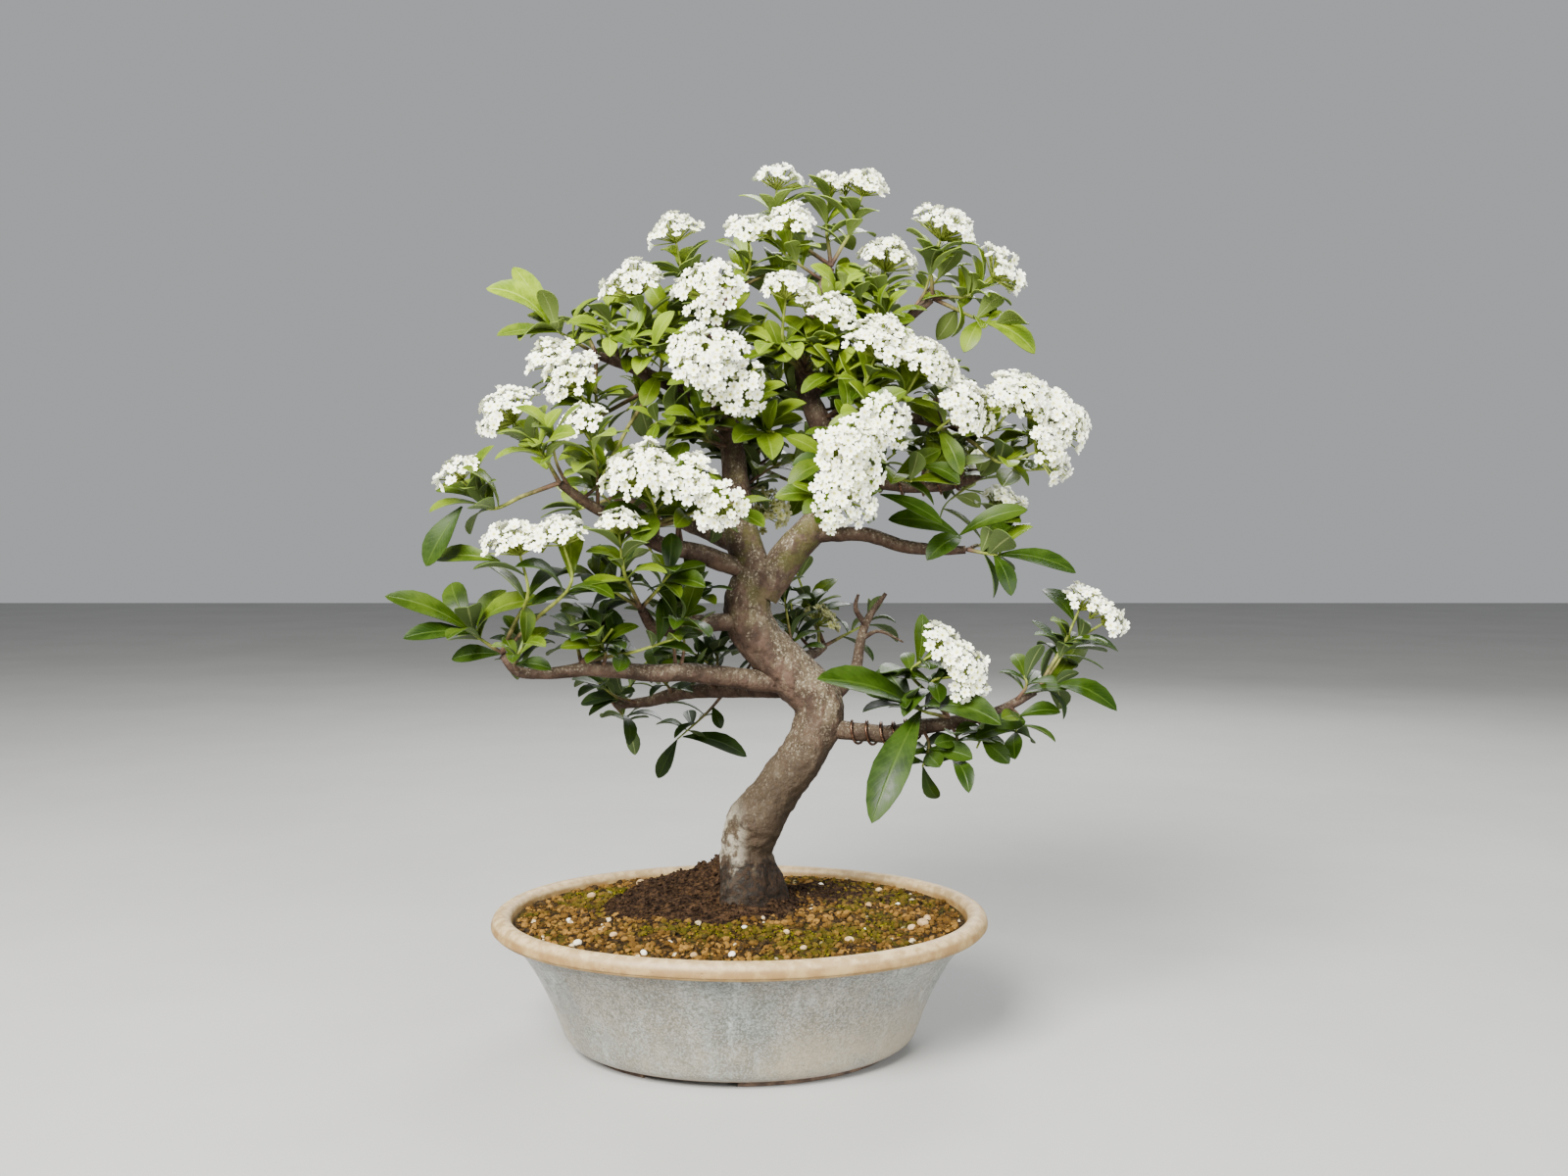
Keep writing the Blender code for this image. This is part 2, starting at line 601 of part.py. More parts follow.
def make_pot(collection, scratch):
    pot = turned("pot", pot_profile(), 32, collection, material("glaze"))
    cutters = []
    for angle in FOOT_NOTCH_ANGLES:
        a = math.radians(angle)
        reach = (FOOT_RADII[0] + FOOT_RADII[1]) / 2
        middle = (POT_X + reach * math.cos(a), OVAL * reach * math.sin(a), FOOT_HEIGHT / 2 - 5)
        cutters.append(box(middle, (70, FOOT_NOTCH_WIDTH, FOOT_HEIGHT + 10 - GAP), a, scratch))
    for x in (POT_X - DRAIN_X, POT_X + DRAIN_X):
        cutters.append(drum((x, 0), DRAIN_RADIUS, -1, FLOOR_TOP + 5, 1, 16, scratch))
    return cut(pot, cutters, collection)


def make_screen(name, x, collection, scratch):
    """The square of mesh that keeps the soil out of a drain hole."""
    low = FLOOR_TOP + GAP
    plate = box((x, 0, low + SCREEN_THICK / 2), (SCREEN_SIDE, SCREEN_SIDE, SCREEN_THICK), 0, collection)
    plate.name = name
    plate.data.materials.append(material("mesh"))
    cell = (SCREEN_SIDE - SCREEN_BAR) / SCREEN_CELLS
    cutters = []
    for i in range(SCREEN_CELLS):
        for j in range(SCREEN_CELLS):
            middle = (x + (i - (SCREEN_CELLS - 1) / 2) * cell, (j - (SCREEN_CELLS - 1) / 2) * cell, low)
            cutters.append(box(middle, (cell - SCREEN_BAR, cell - SCREEN_BAR, 9), 0, scratch))
    return cut(plate, cutters, collection)


def trunk_hole(scratch):
    """The trunk's own lower stretch, grown by the clearance."""
    path, radii = limb_line("trunk", 2)
    path[0] -= (0, 0, GAP)
    return tube(path, radii + GAP, 4, scratch)


def roughen(mesh, lowest, height, scale):
    """Raises the surface above a level by a fine noise, as grit and peat lie."""
    for vert in mesh.vertices:
        if vert.co.z > lowest * MM:
            vert.co.z += height * MM * noise.noise(vert.co / (scale * MM))


def make_soil(collection, scratch):
    half = POT_LENGTH / 2
    top = [(r, SOIL_EDGE_Z + SOIL_DOME * (1 - (r / (half - 18)) ** 2)) for r in (0, 34, 62, 88, 112)]
    profile = [*top, (half - 18, SOIL_EDGE_Z), (half - 25.5, 68), (half - 43.5, 44),
               (half - 59, FLOOR_TOP + 2 * GAP + SCREEN_THICK), (0, FLOOR_TOP + 2 * GAP + SCREEN_THICK)]
    soil = turned("soil", profile, 32, collection, material("soil"))
    roughen(soil.data, SOIL_EDGE_Z + 0.5, SOIL_RELIEF, 9)
    stretch = MOUND_RADII[1] / MOUND_RADII[0]
    pocket = drum(MOUND_CENTRE, MOUND_RADII[0] + GAP, MOUND_FLOOR_Z, 140, stretch, MOUND_SIDES, scratch)
    return cut(soil, [pocket, trunk_hole(scratch)], collection)


def make_mound(collection, scratch):
    """A low heap with its peak beside the trunk."""
    bm = bmesh.new()
    bmesh.ops.create_cone(bm, cap_ends=True, cap_tris=True, segments=MOUND_SIDES, radius1=MM, radius2=MM,
                          depth=2 * MM)
    top = [face for face in bm.faces if face.normal.z > 0.5]
    spokes = {edge for face in top for edge in face.edges if not edge.is_boundary and len(edge.link_faces) == 2
              and all(link in top for link in edge.link_faces)}
    bmesh.ops.subdivide_edges(bm, edges=list(spokes), cuts=3)
    floor, middle = MOUND_FLOOR_Z + GAP, MOUND_CENTRE
    for vert in bm.verts:
        x, y = vert.co.x / MM, vert.co.y / MM
        reach = math.hypot(x, y)
        rise = MOUND_PEAK * max(0.0, 1 - reach) ** 0.8 + 5.0
        z = floor if vert.co.z < 0 else floor + rise
        place = Vector((middle[0] + x * MOUND_RADII[0] - MOUND_LEAN[0] * (1 - reach),
                        middle[1] + y * MOUND_RADII[1] - MOUND_LEAN[1] * (1 - reach), z))
        if vert.co.z > 0:
            place.z += 3.2 * noise.noise(place / 13)
        vert.co = place * MM
    mound = put("peat_mound", mesh_from(bm, "peat_mound"), collection, material("peat"))
    return cut(mound, [trunk_hole(scratch)], collection)


def make_wood(collection, scratch):
    pieces = []
    for name in LIMBS:
        path, radii = limb_line(name, 2 if name == "trunk" else 1)
        sides = 4 if name == "trunk" else 1 if "leader" in name else 0
        pieces.append(tube(path, radii, sides, scratch))
    return fuse("wood", pieces, material("bark"), collection)


def wire_path(limb, start, end, turns):
    """A helix that lies on the bark of a limb, a little clear of it."""
    line, radii = limb_line(limb, 1)
    n = turns * WIRE_STEPS + 1
    at = np.linspace(start, end, n) * (len(line) - 1)
    index = np.arange(len(line))
    centre = np.stack([np.interp(at, index, line[:, axis]) for axis in range(3)], axis=1)
    reach = np.interp(at, index, radii) + WIRE_RADIUS + 2.2 * GAP
    ahead = np.gradient(centre, axis=0)
    ahead /= np.linalg.norm(ahead, axis=1)[:, None]
    side = np.cross(ahead, (0, 0, 1))
    side /= np.linalg.norm(side, axis=1)[:, None]
    over = np.cross(side, ahead)
    angle = np.linspace(0, turns * math.tau, n)[:, None]
    return centre + reach[:, None] * (np.cos(angle) * side + np.sin(angle) * over)


def make_wire(name, collection):
    path = wire_path(*WIRES[name])
    wire = tube(path, np.full(len(path), WIRE_RADIUS), 0, collection)
    wire.name = name
    wire.data.materials.append(material("wire"))
    return wire


def blade(leaf, columns, collection):
    """One leaf as an open surface with Solidify."""
    grid = leaf_grid(*leaf, (0, 0.4, 0.76, 1), columns) * MM
    bm = bmesh.new()
    base, tip = bm.verts.new(grid[0][0]), bm.verts.new(grid[-1][0])
    lower, upper = ([bm.verts.new(point) for point in row] for row in grid[1:3])
    for k in range(len(columns) - 1):
        bm.faces.new((base, lower[k + 1], lower[k]))
        bm.faces.new((lower[k], lower[k + 1], upper[k + 1], upper[k]))
        bm.faces.new((upper[k], upper[k + 1], tip))
    bmesh.ops.triangulate(bm, faces=bm.faces)
    obj = put("blade", mesh_from(bm, "blade"), collection)
    shell = obj.modifiers.new("thickness", "SOLIDIFY")
    shell.thickness = BLADE * MM
    shell.offset = 0
    mesh = frozen(obj)
    bpy.data.objects.remove(obj)
    return put("blade", mesh, collection)


def knot(centre, down, collection):
    """The knuckle that a spray grows from, one corner of it turned to the bark."""
    bm = bmesh.new()
    bmesh.ops.create_icosphere(bm, subdivisions=1, radius=KNUCKLE * MM)
    turn = Vector(down).to_track_quat("Z", "Y").to_matrix().to_4x4()
    bm.transform(Matrix.Translation(Vector(centre) * MM) @ turn)
    return put("knot", mesh_from(bm, "knot"), collection)


def make_spray(name, shoots, leaves, finish, collection, scratch):
    paths, knuckle, down = shoots
    pieces = [knot(knuckle, down, scratch)]
    for path in paths:
        pieces.append(tube(path, (1.9, 1.4, 1.0), 0, scratch))
    for k, leaf in enumerate(leaves):
        large = k < len(LARGE_LEAVES.get(name, ()))
        pieces.append(blade(leaf, (-1, 0, 1) if large else (-1, 1), scratch))
    return fuse(name, pieces, finish, collection)


def floret(place, out, radius, turn, collection):
    """A five-petalled flower: a ten-sided cone whose rim steps in between the petals, with a
    dished middle and its point sunk in the head's core."""
    bm = bmesh.new()
    bmesh.ops.create_cone(bm, cap_ends=True, cap_tris=True, segments=10, radius1=0, radius2=radius * MM,
                          depth=0.8 * radius * MM)
    bmesh.ops.remove_doubles(bm, verts=bm.verts, dist=1e-7)
    rim = sorted((v for v in bm.verts if v.co.xy.length > 0.5 * radius * MM),
                 key=lambda v: math.atan2(v.co.y, v.co.x))
    for k, vert in enumerate(rim):
        if k % 2:
            vert.co.xy *= 0.62
        else:
            vert.co.z += 0.12 * radius * MM
    facing_out = Vector(out).to_track_quat("Z", "Y").to_matrix().to_4x4()
    bm.transform(Matrix.Translation(Vector(place) * MM) @ facing_out @ Matrix.Rotation(turn, 4, "Z"))
    return put("floret", mesh_from(bm, "floret"), collection)


def dome_points(head, count):
    """Evenly wound places on the domed top of a head, each with the way it faces."""
    face = facing(head)
    radius = head[3]
    across = unit(np.cross(face, (0.2, 0.5, 0.9)))
    other = np.cross(face, across)
    for k in range(count):
        share = math.sqrt((k + 0.5) / count)
        angle = k * TURN
        flat = (across * math.cos(angle) + other * math.sin(angle)) * share
        rise = DOME_RISE * (1 - share**2)
        yield np.array(head[:3]) + radius * (0.7 * flat + rise * face), unit(face + 0.75 * flat)


def make_cluster(name, heads, finish, collection, scratch):
    pieces = []
    for head in heads:
        bm = bmesh.new()
        bmesh.ops.create_icosphere(bm, subdivisions=1, radius=head[3] * MM)
        turn = Vector(facing(head)).to_track_quat("Z", "Y").to_matrix().to_4x4()
        flatten = Matrix.Diagonal((0.84, 0.84, CORE_RISE, 1))
        bm.transform(Matrix.Translation(Vector(head[:3]) * MM) @ turn @ flatten)
        pieces.append(put("core", mesh_from(bm, "core"), scratch))
    for near, far in zip(heads, heads[1:]):
        pieces.append(tube([near[:3], far[:3]], (2.2, 2.2), 0, scratch))
    for head in heads:
        count = 4 if head[3] > 20 else 3
        for k, (place, out) in enumerate(dome_points(head, count)):
            pieces.append(floret(place, out, FLORET_SHARE * head[3], 0.7 * k, scratch))
    return fuse(name, pieces, finish, collection)


def main():
    clear_scene()
    tree = new_collection("pyracantha_bonsai")
    scratch = new_collection("cutters")
    make_pot(tree, scratch)
    make_screen("drain_screen_left", POT_X - DRAIN_X, tree, scratch)
    make_screen("drain_screen_right", POT_X + DRAIN_X, tree, scratch)
    make_soil(tree, scratch)
    make_mound(tree, scratch)
    wood = make_wood(tree, scratch)
    for name in WIRES:
        make_wire(name, tree)
    shoots = {spray: shoots_of(spray, wood) for spray in SPRAYS}
    leaves = grow_leaves(shoots)
    leaf_finish = material("leaf")
    for spray in SPRAYS:
        make_spray(spray, shoots[spray], leaves[spray], leaf_finish, tree, scratch)
    petal_finish = material("petal")
    for cluster, (_, heads) in CLUSTERS.items():
        make_cluster(cluster, heads, petal_finish, tree, scratch)
    for obj in tree.objects:
        smooth(obj)


main()
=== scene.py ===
# %% [markdown]
# A firethorn bonsai in full flower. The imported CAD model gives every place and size, and this
# script dresses it: bark on the wood, blades on the leafy shoots, some two thousand flowers on
# the heads, grit in the pot and a glaze on the clay. The tables hold millimetres, as a grower
# would measure the tree, and MM turns them into Blender's metres. The frame comes first,
# because each new piece rides on it and stands for one of its nodes.

# %% Load the frame
import itertools
import math

import bpy
import numpy as np
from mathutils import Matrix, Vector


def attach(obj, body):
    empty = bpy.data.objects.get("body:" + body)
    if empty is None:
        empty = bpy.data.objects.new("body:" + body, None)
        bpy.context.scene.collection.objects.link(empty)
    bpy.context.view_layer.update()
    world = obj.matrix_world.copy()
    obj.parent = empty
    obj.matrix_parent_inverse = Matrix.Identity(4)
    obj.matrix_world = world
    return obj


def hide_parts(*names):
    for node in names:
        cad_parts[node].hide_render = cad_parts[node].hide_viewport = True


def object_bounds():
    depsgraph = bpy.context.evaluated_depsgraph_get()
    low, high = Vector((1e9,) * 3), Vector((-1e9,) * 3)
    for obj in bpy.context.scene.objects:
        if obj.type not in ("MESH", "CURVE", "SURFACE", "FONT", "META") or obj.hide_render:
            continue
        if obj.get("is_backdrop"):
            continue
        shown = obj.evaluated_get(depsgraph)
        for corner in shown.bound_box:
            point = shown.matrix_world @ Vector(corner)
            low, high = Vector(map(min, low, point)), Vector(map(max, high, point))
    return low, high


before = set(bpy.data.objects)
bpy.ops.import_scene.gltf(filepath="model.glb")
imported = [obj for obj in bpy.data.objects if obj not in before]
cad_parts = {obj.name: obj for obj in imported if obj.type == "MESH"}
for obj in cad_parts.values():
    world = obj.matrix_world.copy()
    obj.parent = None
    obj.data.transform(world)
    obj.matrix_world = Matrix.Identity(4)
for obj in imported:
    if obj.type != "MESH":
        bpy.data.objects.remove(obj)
cad_box = [list(corner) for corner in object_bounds()]
MM = 0.001
print("nodes in the frame:", len(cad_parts))

# %% [markdown]
# Every surface here is an array of points, so a few array helpers come before the pieces. A
# mesh is filled in one go with foreach_set, which is far quicker than adding faces one by
# one. Values that change over a surface, such as how far along its leaf a point lies, are
# stored beside the points as attributes, and the materials read them by name.


# %% Mesh and array helpers
def unit(v):
    """Vectors scaled to length 1."""
    return v / np.linalg.norm(v, axis=-1, keepdims=True)


def grid_faces(rows, columns, wrap):
    """Quads of a grid of points numbered row by row. wrap joins the last column to the first."""
    down = np.arange(rows - 1)[:, None] * columns
    across = np.arange(columns if wrap else columns - 1)[None, :]
    right = (across + 1) % columns
    quads = np.stack([down + across, down + right, down + columns + right, down + columns + across], -1)
    return quads.reshape(-1, 4)


def copies(faces, count, points_each):
    """The same faces for each of a number of copies whose points follow one another."""
    shift = np.arange(count)[:, None, None] * points_each
    return (faces[None] + shift).reshape(-1, faces.shape[1])


def ring_solid(rings, ends, turned=False):
    """A closed solid: rings joined by quads, and a fan of triangles from a point at each end.
    turned reverses the faces, for rings that run the other way round."""
    count, around = rings.shape[:2]
    points = np.vstack([rings.reshape(-1, 3), ends])
    first = np.arange(around)
    last = first + (count - 1) * around
    low = np.stack([np.roll(first, -1), first, np.full(around, len(points) - 2)], 1)
    high = np.stack([last, np.roll(last, -1), np.full(around, len(points) - 1)], 1)
    faces = [grid_faces(count, around, True), np.vstack([low, high])]
    return points, [some[:, ::-1] for some in faces] if turned else faces


def make_piece(name, points, face_sets, material, stands_for=(), attributes=None, sharp=math.radians(50)):
    """A piece of the object: points in millimetres, sets of faces of one size each, and
    attributes given as one value per point."""
    mesh = bpy.data.meshes.new(name)
    points = np.asarray(points, np.float32).reshape(-1, 3) * MM
    loops = np.concatenate([faces.reshape(-1) for faces in face_sets]).astype(np.int32)
    sizes = np.concatenate([np.full(len(faces), faces.shape[1]) for faces in face_sets])
    starts = (np.cumsum(sizes) - sizes).astype(np.int32)
    mesh.vertices.add(len(points))
    mesh.vertices.foreach_set("co", points.reshape(-1))
    mesh.loops.add(len(loops))
    mesh.loops.foreach_set("vertex_index", loops)
    mesh.polygons.add(len(sizes))
    mesh.polygons.foreach_set("loop_start", starts)
    for label, values in (attributes or {}).items():
        layer = mesh.attributes.new(label, "FLOAT", "POINT")
        layer.data.foreach_set("value", np.asarray(values, np.float32).reshape(-1))
    mesh.update(calc_edges=True)
    mesh.validate()
    mesh.shade_smooth()
    mesh.set_sharp_from_angle(angle=sharp)
    mesh.materials.append(material)
    piece = bpy.data.objects.new(name, mesh)
    bpy.context.scene.collection.objects.link(piece)
    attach(piece, "root")
    if stands_for:
        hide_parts(*stands_for)
    return piece


# %% [markdown]
# Noise and curves shape what grows. The noise blends repeatable values of a lattice, so the same
# place always gets the same bump. Curves run through the few points that the tables give, and a
# tube round such a curve makes a limb, a wire or a shoot.

# %% Noise, curves and tubes
def hashed(cells, seed):
    """A repeatable value from 0 to 1 for each whole-numbered lattice cell."""
    mix = cells[..., 0] * 374761393 + cells[..., 1] * 668265263 + cells[..., 2] * 2147483647 + seed * 144665
    mix = (mix ^ (mix >> 13)) * 1274126177
    return ((mix ^ (mix >> 16)) & 0xFFFFFF) / 0xFFFFFF


def cloud(points, scale, seed=0):
    """Smooth noise from -1 to 1: lattice values a scale apart, blended by smoothed distances."""
    where = np.asarray(points, float) / scale
    cell = np.floor(where).astype(np.int64)
    part = where - cell
    part = part * part * (3 - 2 * part)
    total = 0.0
    for corner in np.ndindex(2, 2, 2):
        corner = np.array(corner)
        weight = np.prod(np.where(corner == 1, part, 1 - part), axis=-1)
        total = total + weight * hashed(cell + corner, seed)
    return total * 2 - 1


def smooth_path(points, count):
    """A Catmull-Rom curve of count samples through the points."""
    p = np.asarray(points, float)
    p = np.vstack([2 * p[0] - p[1], p, 2 * p[-1] - p[-2]])
    at = np.linspace(0, len(p) - 3, count)
    span = np.minimum(at.astype(int), len(p) - 4)
    t = (at - span)[:, None]
    a, b, c, d = p[span], p[span + 1], p[span + 2], p[span + 3]
    return 0.5 * (2 * b + (c - a) * t + (2 * a - 5 * b + 4 * c - d) * t**2 + (3 * b - a - 3 * c + d) * t**3)


def sampled(values, at):
    """Rows of an array read at row numbers that may be fractions."""
    rows = np.arange(len(values))
    return np.stack([np.interp(at, rows, column) for column in values.T], -1)


def path_point(path, share):
    """The sample of a path at a share of its length."""
    return path[int(share * (len(path) - 1))]


def path_frames(path):
    """Two vectors across a path at each sample, carried along it with the least turning."""
    ahead = unit(np.gradient(path, axis=0))
    side = np.empty_like(path)
    side[0] = unit(np.cross(ahead[0], (0.21, 0.93, 0.3)))
    for k in range(1, len(path)):
        side[k] = unit(side[k - 1] - ahead[k] * (side[k - 1] @ ahead[k]))
    return side, np.cross(ahead, side)


def tube(path, radii, around, relief=None):
    """Points and faces of a closed round tube. Each ring is path + r (side cos a + over sin a),
    where relief may add to r, and a pole closes each end."""
    side, over = path_frames(path)
    angle = np.linspace(0, math.tau, around, endpoint=False)
    spoke = side[:, None] * np.cos(angle)[None, :, None] + over[:, None] * np.sin(angle)[None, :, None]
    reach = np.broadcast_to(np.asarray(radii, float)[:, None], spoke.shape[:2])
    if relief is not None:
        reach = reach + relief(path[:, None] + spoke * reach[..., None], reach)
    rings = path[:, None] + spoke * reach[..., None]
    return ring_solid(rings, path[[0, -1]])


def joined(parts):
    """Several (points, [quads, triangles]) in one, as tube gives them."""
    points, quads, triangles, count = [], [], [], 0
    for some, (four, three) in parts:
        points.append(some)
        quads.append(four + count)
        triangles.append(three + count)
        count += len(some)
    return np.vstack(points), [np.vstack(quads), np.vstack(triangles)]


# %% [markdown]
# Materials are built from nodes. Two patterns come back in many of them: patches of a second
# colour and round specks. Each is a node group, made once with named sockets and placed with its
# own values, the way a painter keeps a few brushes. The shader itself stays in the material.


# %% Node helpers and shared groups
def wire(tree, node_type, inputs=None, **settings):
    """A node with its settings and input values. A socket given as input is linked."""
    node = tree.nodes.new(node_type)
    for key, value in settings.items():
        setattr(node, key, value)
    for key, value in (inputs or {}).items():
        if isinstance(value, bpy.types.NodeSocket):
            tree.links.new(value, node.inputs[key])
        else:
            node.inputs[key].default_value = value
    return node


def new_group(name, inputs, outputs):
    """An empty shader group with the given sockets. Returns the tree, its inputs and outputs."""
    group = bpy.data.node_groups.new(name, "ShaderNodeTree")
    for label, kind, value in inputs:
        socket = group.interface.new_socket(label, in_out="INPUT", socket_type=kind)
        if value is not None:
            socket.default_value = value
    for label, kind in outputs:
        group.interface.new_socket(label, in_out="OUTPUT", socket_type=kind)
    return group, group.nodes.new("NodeGroupInput").outputs, group.nodes.new("NodeGroupOutput").inputs


def patches_group():
    """Noise of a given scale, cut by two limits into a mask from 0 to 1."""
    group, into, out = new_group(
        "patches",
        [("Vector", "NodeSocketVector", None), ("Scale", "NodeSocketFloat", 20.0),
         ("From", "NodeSocketFloat", 0.45), ("To", "NodeSocketFloat", 0.6)],
        [("Mask", "NodeSocketFloat")],
    )
    noise = wire(group, "ShaderNodeTexNoise",
                 {"Vector": into["Vector"], "Scale": into["Scale"], "Detail": 5.0, "Roughness": 0.62})
    cut = wire(group, "ShaderNodeMapRange",
               {"Value": noise.outputs["Fac"], "From Min": into["From"], "From Max": into["To"]},
               interpolation_type="SMOOTHSTEP")
    group.links.new(cut.outputs["Result"], out["Mask"])
    return group


def specks_group():
    """Round specks: near the middle of a Voronoi cell the mask is 1, and only some cells show."""
    group, into, out = new_group(
        "specks",
        [("Vector", "NodeSocketVector", None), ("Scale", "NodeSocketFloat", 300.0),
         ("Radius", "NodeSocketFloat", 0.2), ("Share", "NodeSocketFloat", 0.5)],
        [("Mask", "NodeSocketFloat")],
    )
    cells = wire(group, "ShaderNodeTexVoronoi", {"Vector": into["Vector"], "Scale": into["Scale"]})
    near = wire(group, "ShaderNodeMapRange",
                {"Value": cells.outputs["Distance"], "From Min": into["Radius"], "From Max": 0.0},
                interpolation_type="SMOOTHSTEP")
    pick = wire(group, "ShaderNodeSeparateColor", {"Color": cells.outputs["Color"]})
    shown = wire(group, "ShaderNodeMath", {0: pick.outputs[0], 1: into["Share"]}, operation="LESS_THAN")
    mask = wire(group, "ShaderNodeMath", {0: near.outputs["Result"], 1: shown.outputs[0]},
                operation="MULTIPLY")
    group.links.new(mask.outputs[0], out["Mask"])
    return group


PATCHES = patches_group()
SPECKS = specks_group()
print("shared groups:", PATCHES.name, SPECKS.name)

# %% [markdown]
# A Finish is one material while it is being built. Each method adds a node and hands back its
# socket, so a colour reads as a chain of named masks and tints.


# %% The Finish class
class Finish:
    """A material under construction: one Principled shader and the nodes that feed it."""

    def __init__(self, name, **constants):
        self.material = bpy.data.materials.new(name)
        self.material.use_nodes = True
        self.tree = self.material.node_tree
        self.shader = self.tree.nodes["Principled BSDF"]
        for key, value in constants.items():
            self.shader.inputs[key.replace("_", " ")].default_value = value
        self.place = self.node("ShaderNodeTexCoord").outputs["Object"]

    def node(self, node_type, inputs=None, **settings):
        return wire(self.tree, node_type, inputs, **settings)

    def patches(self, scale, low, high, vector=None):
        """Noise of a scale, 0 below its low limit and 1 above its high one."""
        inputs = {"Vector": vector or self.place, "Scale": scale, "From": low, "To": high}
        return self.node("ShaderNodeGroup", inputs, node_tree=PATCHES).outputs["Mask"]

    def specks(self, scale, radius, share):
        """Round specks on a share of the cells of a scale."""
        inputs = {"Vector": self.place, "Scale": scale, "Radius": radius, "Share": share}
        return self.node("ShaderNodeGroup", inputs, node_tree=SPECKS).outputs["Mask"]

    def attribute(self, name):
        return self.node("ShaderNodeAttribute", attribute_name=name, attribute_type="GEOMETRY").outputs["Fac"]

    def stretched(self, x, y, z):
        """The place scaled along each axis. A small scale draws a pattern out that way."""
        return self.node("ShaderNodeMapping", {"Vector": self.place, "Scale": (x, y, z)}).outputs["Vector"]

    def axes(self):
        """X, Y and Z of the place, in metres."""
        return self.node("ShaderNodeSeparateXYZ", {"Vector": self.place}).outputs

    def math(self, operation, a, b=0.0, c=0.0):
        return self.node("ShaderNodeMath", {0: a, 1: b, 2: c}, operation=operation).outputs[0]

    def times(self, a, b):
        return self.math("MULTIPLY", a, b)

    def between(self, value, low, high, start=0.0, end=1.0):
        """A smooth step from start to end while the value goes from low to high."""
        return self.node("ShaderNodeMapRange",
                         {"Value": value, "From Min": low, "From Max": high, "To Min": start, "To Max": end},
                         interpolation_type="SMOOTHSTEP").outputs["Result"]

    def mix(self, factor, a, b, blend="MIX"):
        """Two colours mixed by a factor: all a at 0, all b at 1."""
        a, b = ((*colour, 1) if isinstance(colour, tuple) else colour for colour in (a, b))
        return self.node("ShaderNodeMix", {0: factor, 6: a, 7: b}, data_type="RGBA",
                         blend_type=blend).outputs[2]

    def tint(self, base, mask, strength, colour):
        """The base with some of a colour over it where the mask shows."""
        return self.mix(self.times(mask, strength), base, colour)

    def set(self, name, value):
        self.tree.links.new(value, self.shader.inputs[name])

    def relief(self, *heights):
        """Bump nodes one after another, each (height, distance in millimetres, strength)."""
        normal = None
        for height, distance, strength in heights:
            inputs = {"Height": height, "Distance": distance * MM, "Strength": strength}
            if normal:
                inputs["Normal"] = normal
            normal = self.node("ShaderNodeBump", inputs).outputs["Normal"]
        self.set("Normal", normal)


def mottled(name, patch, dark, light, raised=None, **constants):
    """A finish of two colours in patches of (scale, low, high). raised gives the light ones a
    relief of (distance in millimetres, strength)."""
    f = Finish(name, **constants)
    mask = f.patches(*patch)
    f.set("Base Color", f.mix(mask, dark, light))
    if raised:
        f.relief((mask, *raised))
    return f.material


# %% [markdown]
# The pot is a stoneware bowl, thrown round and pressed oval, so its section is a profile turned
# about the upright axis and squeezed front to back. A spin modifier would do it, but a formula
# keeps the hand-made wobble under control: a slow wave of half a millimetre round the rim. The
# floor has two round holes, which a Boolean cuts, and the foot is a ring with three notches.

# %% Pot sizes and its turned shape
POT_X = -20.0
OVAL = 0.78
DRAIN_X = 42.0
DRAIN_RADIUS = 9.0
POT_PROFILE = [
    (0, 14), (60, 14), (96, 14), (103, 17), (112, 32), (121, 50), (136, 68), (145, 76.5), (146.6, 81),
    (147.2, 84.6), (149.2, 87), (152.4, 87.9), (155.8, 87.2), (158.4, 85), (159.7, 81.8), (159.8, 79.4),
    (159.1, 78.8), (158.6, 78.3), (158.3, 77.7), (157, 76.9), (154, 76.7), (151, 76.6), (148.6, 74.6),
    (144.6, 69.6), (139.4, 63), (133.4, 53.6), (128.2, 44), (123.4, 34), (119.2, 24), (116.2, 15.6),
    (113.6, 9.6), (110.4, 6.2), (106.4, 4.6), (101, 4), (60, 4), (0, 4),
]


print("pot profile points:", len(POT_PROFILE))


def closed_turn(profile, around, wobble=0.0):
    """A closed solid of revolution: (r cos a, OVAL r sin a, z) for each profile point, its two
    ends on the axis. wobble lifts the outside in slow waves, as hand-thrown clay does."""
    profile = np.asarray(profile, float)
    angle = np.linspace(0, math.tau, around, endpoint=False)
    r, z = profile[1:-1, 0][:, None], profile[1:-1, 1][:, None]
    far = np.clip((r - 100) / 60, 0, 1)
    z = z + wobble * far * (np.sin(3 * angle + 0.6) + 0.5 * np.sin(7 * angle + 2.1))
    r = r + wobble * far * (np.sin(2 * angle + 1.2) + 0.6 * np.sin(5 * angle))
    rings = np.stack([POT_X + r * np.cos(angle), OVAL * r * np.sin(angle), z], -1)
    ends = np.array([[POT_X, 0, profile[0, 1]], [POT_X, 0, profile[-1, 1]]])
    return ring_solid(rings, ends, turned=True)


def rounded_profile(profile, count):
    """The profile as a smooth curve of many points."""
    path = smooth_path([(r, 0, z) for r, z in profile], count)
    path[[0, -1], 0] = 0
    return path[:, [0, 2]]


# %% [markdown]
# The glaze is a pale blue-grey over warm clay. It runs, so its streaks are long from top to
# bottom: noise on coordinates that are pressed flat along Z. It thins to a buff cream on top of
# the rim and to amber on the rim's lower band, and it has small dark pinholes. All of that
# follows the height on the pot, which the Object coordinates give directly.


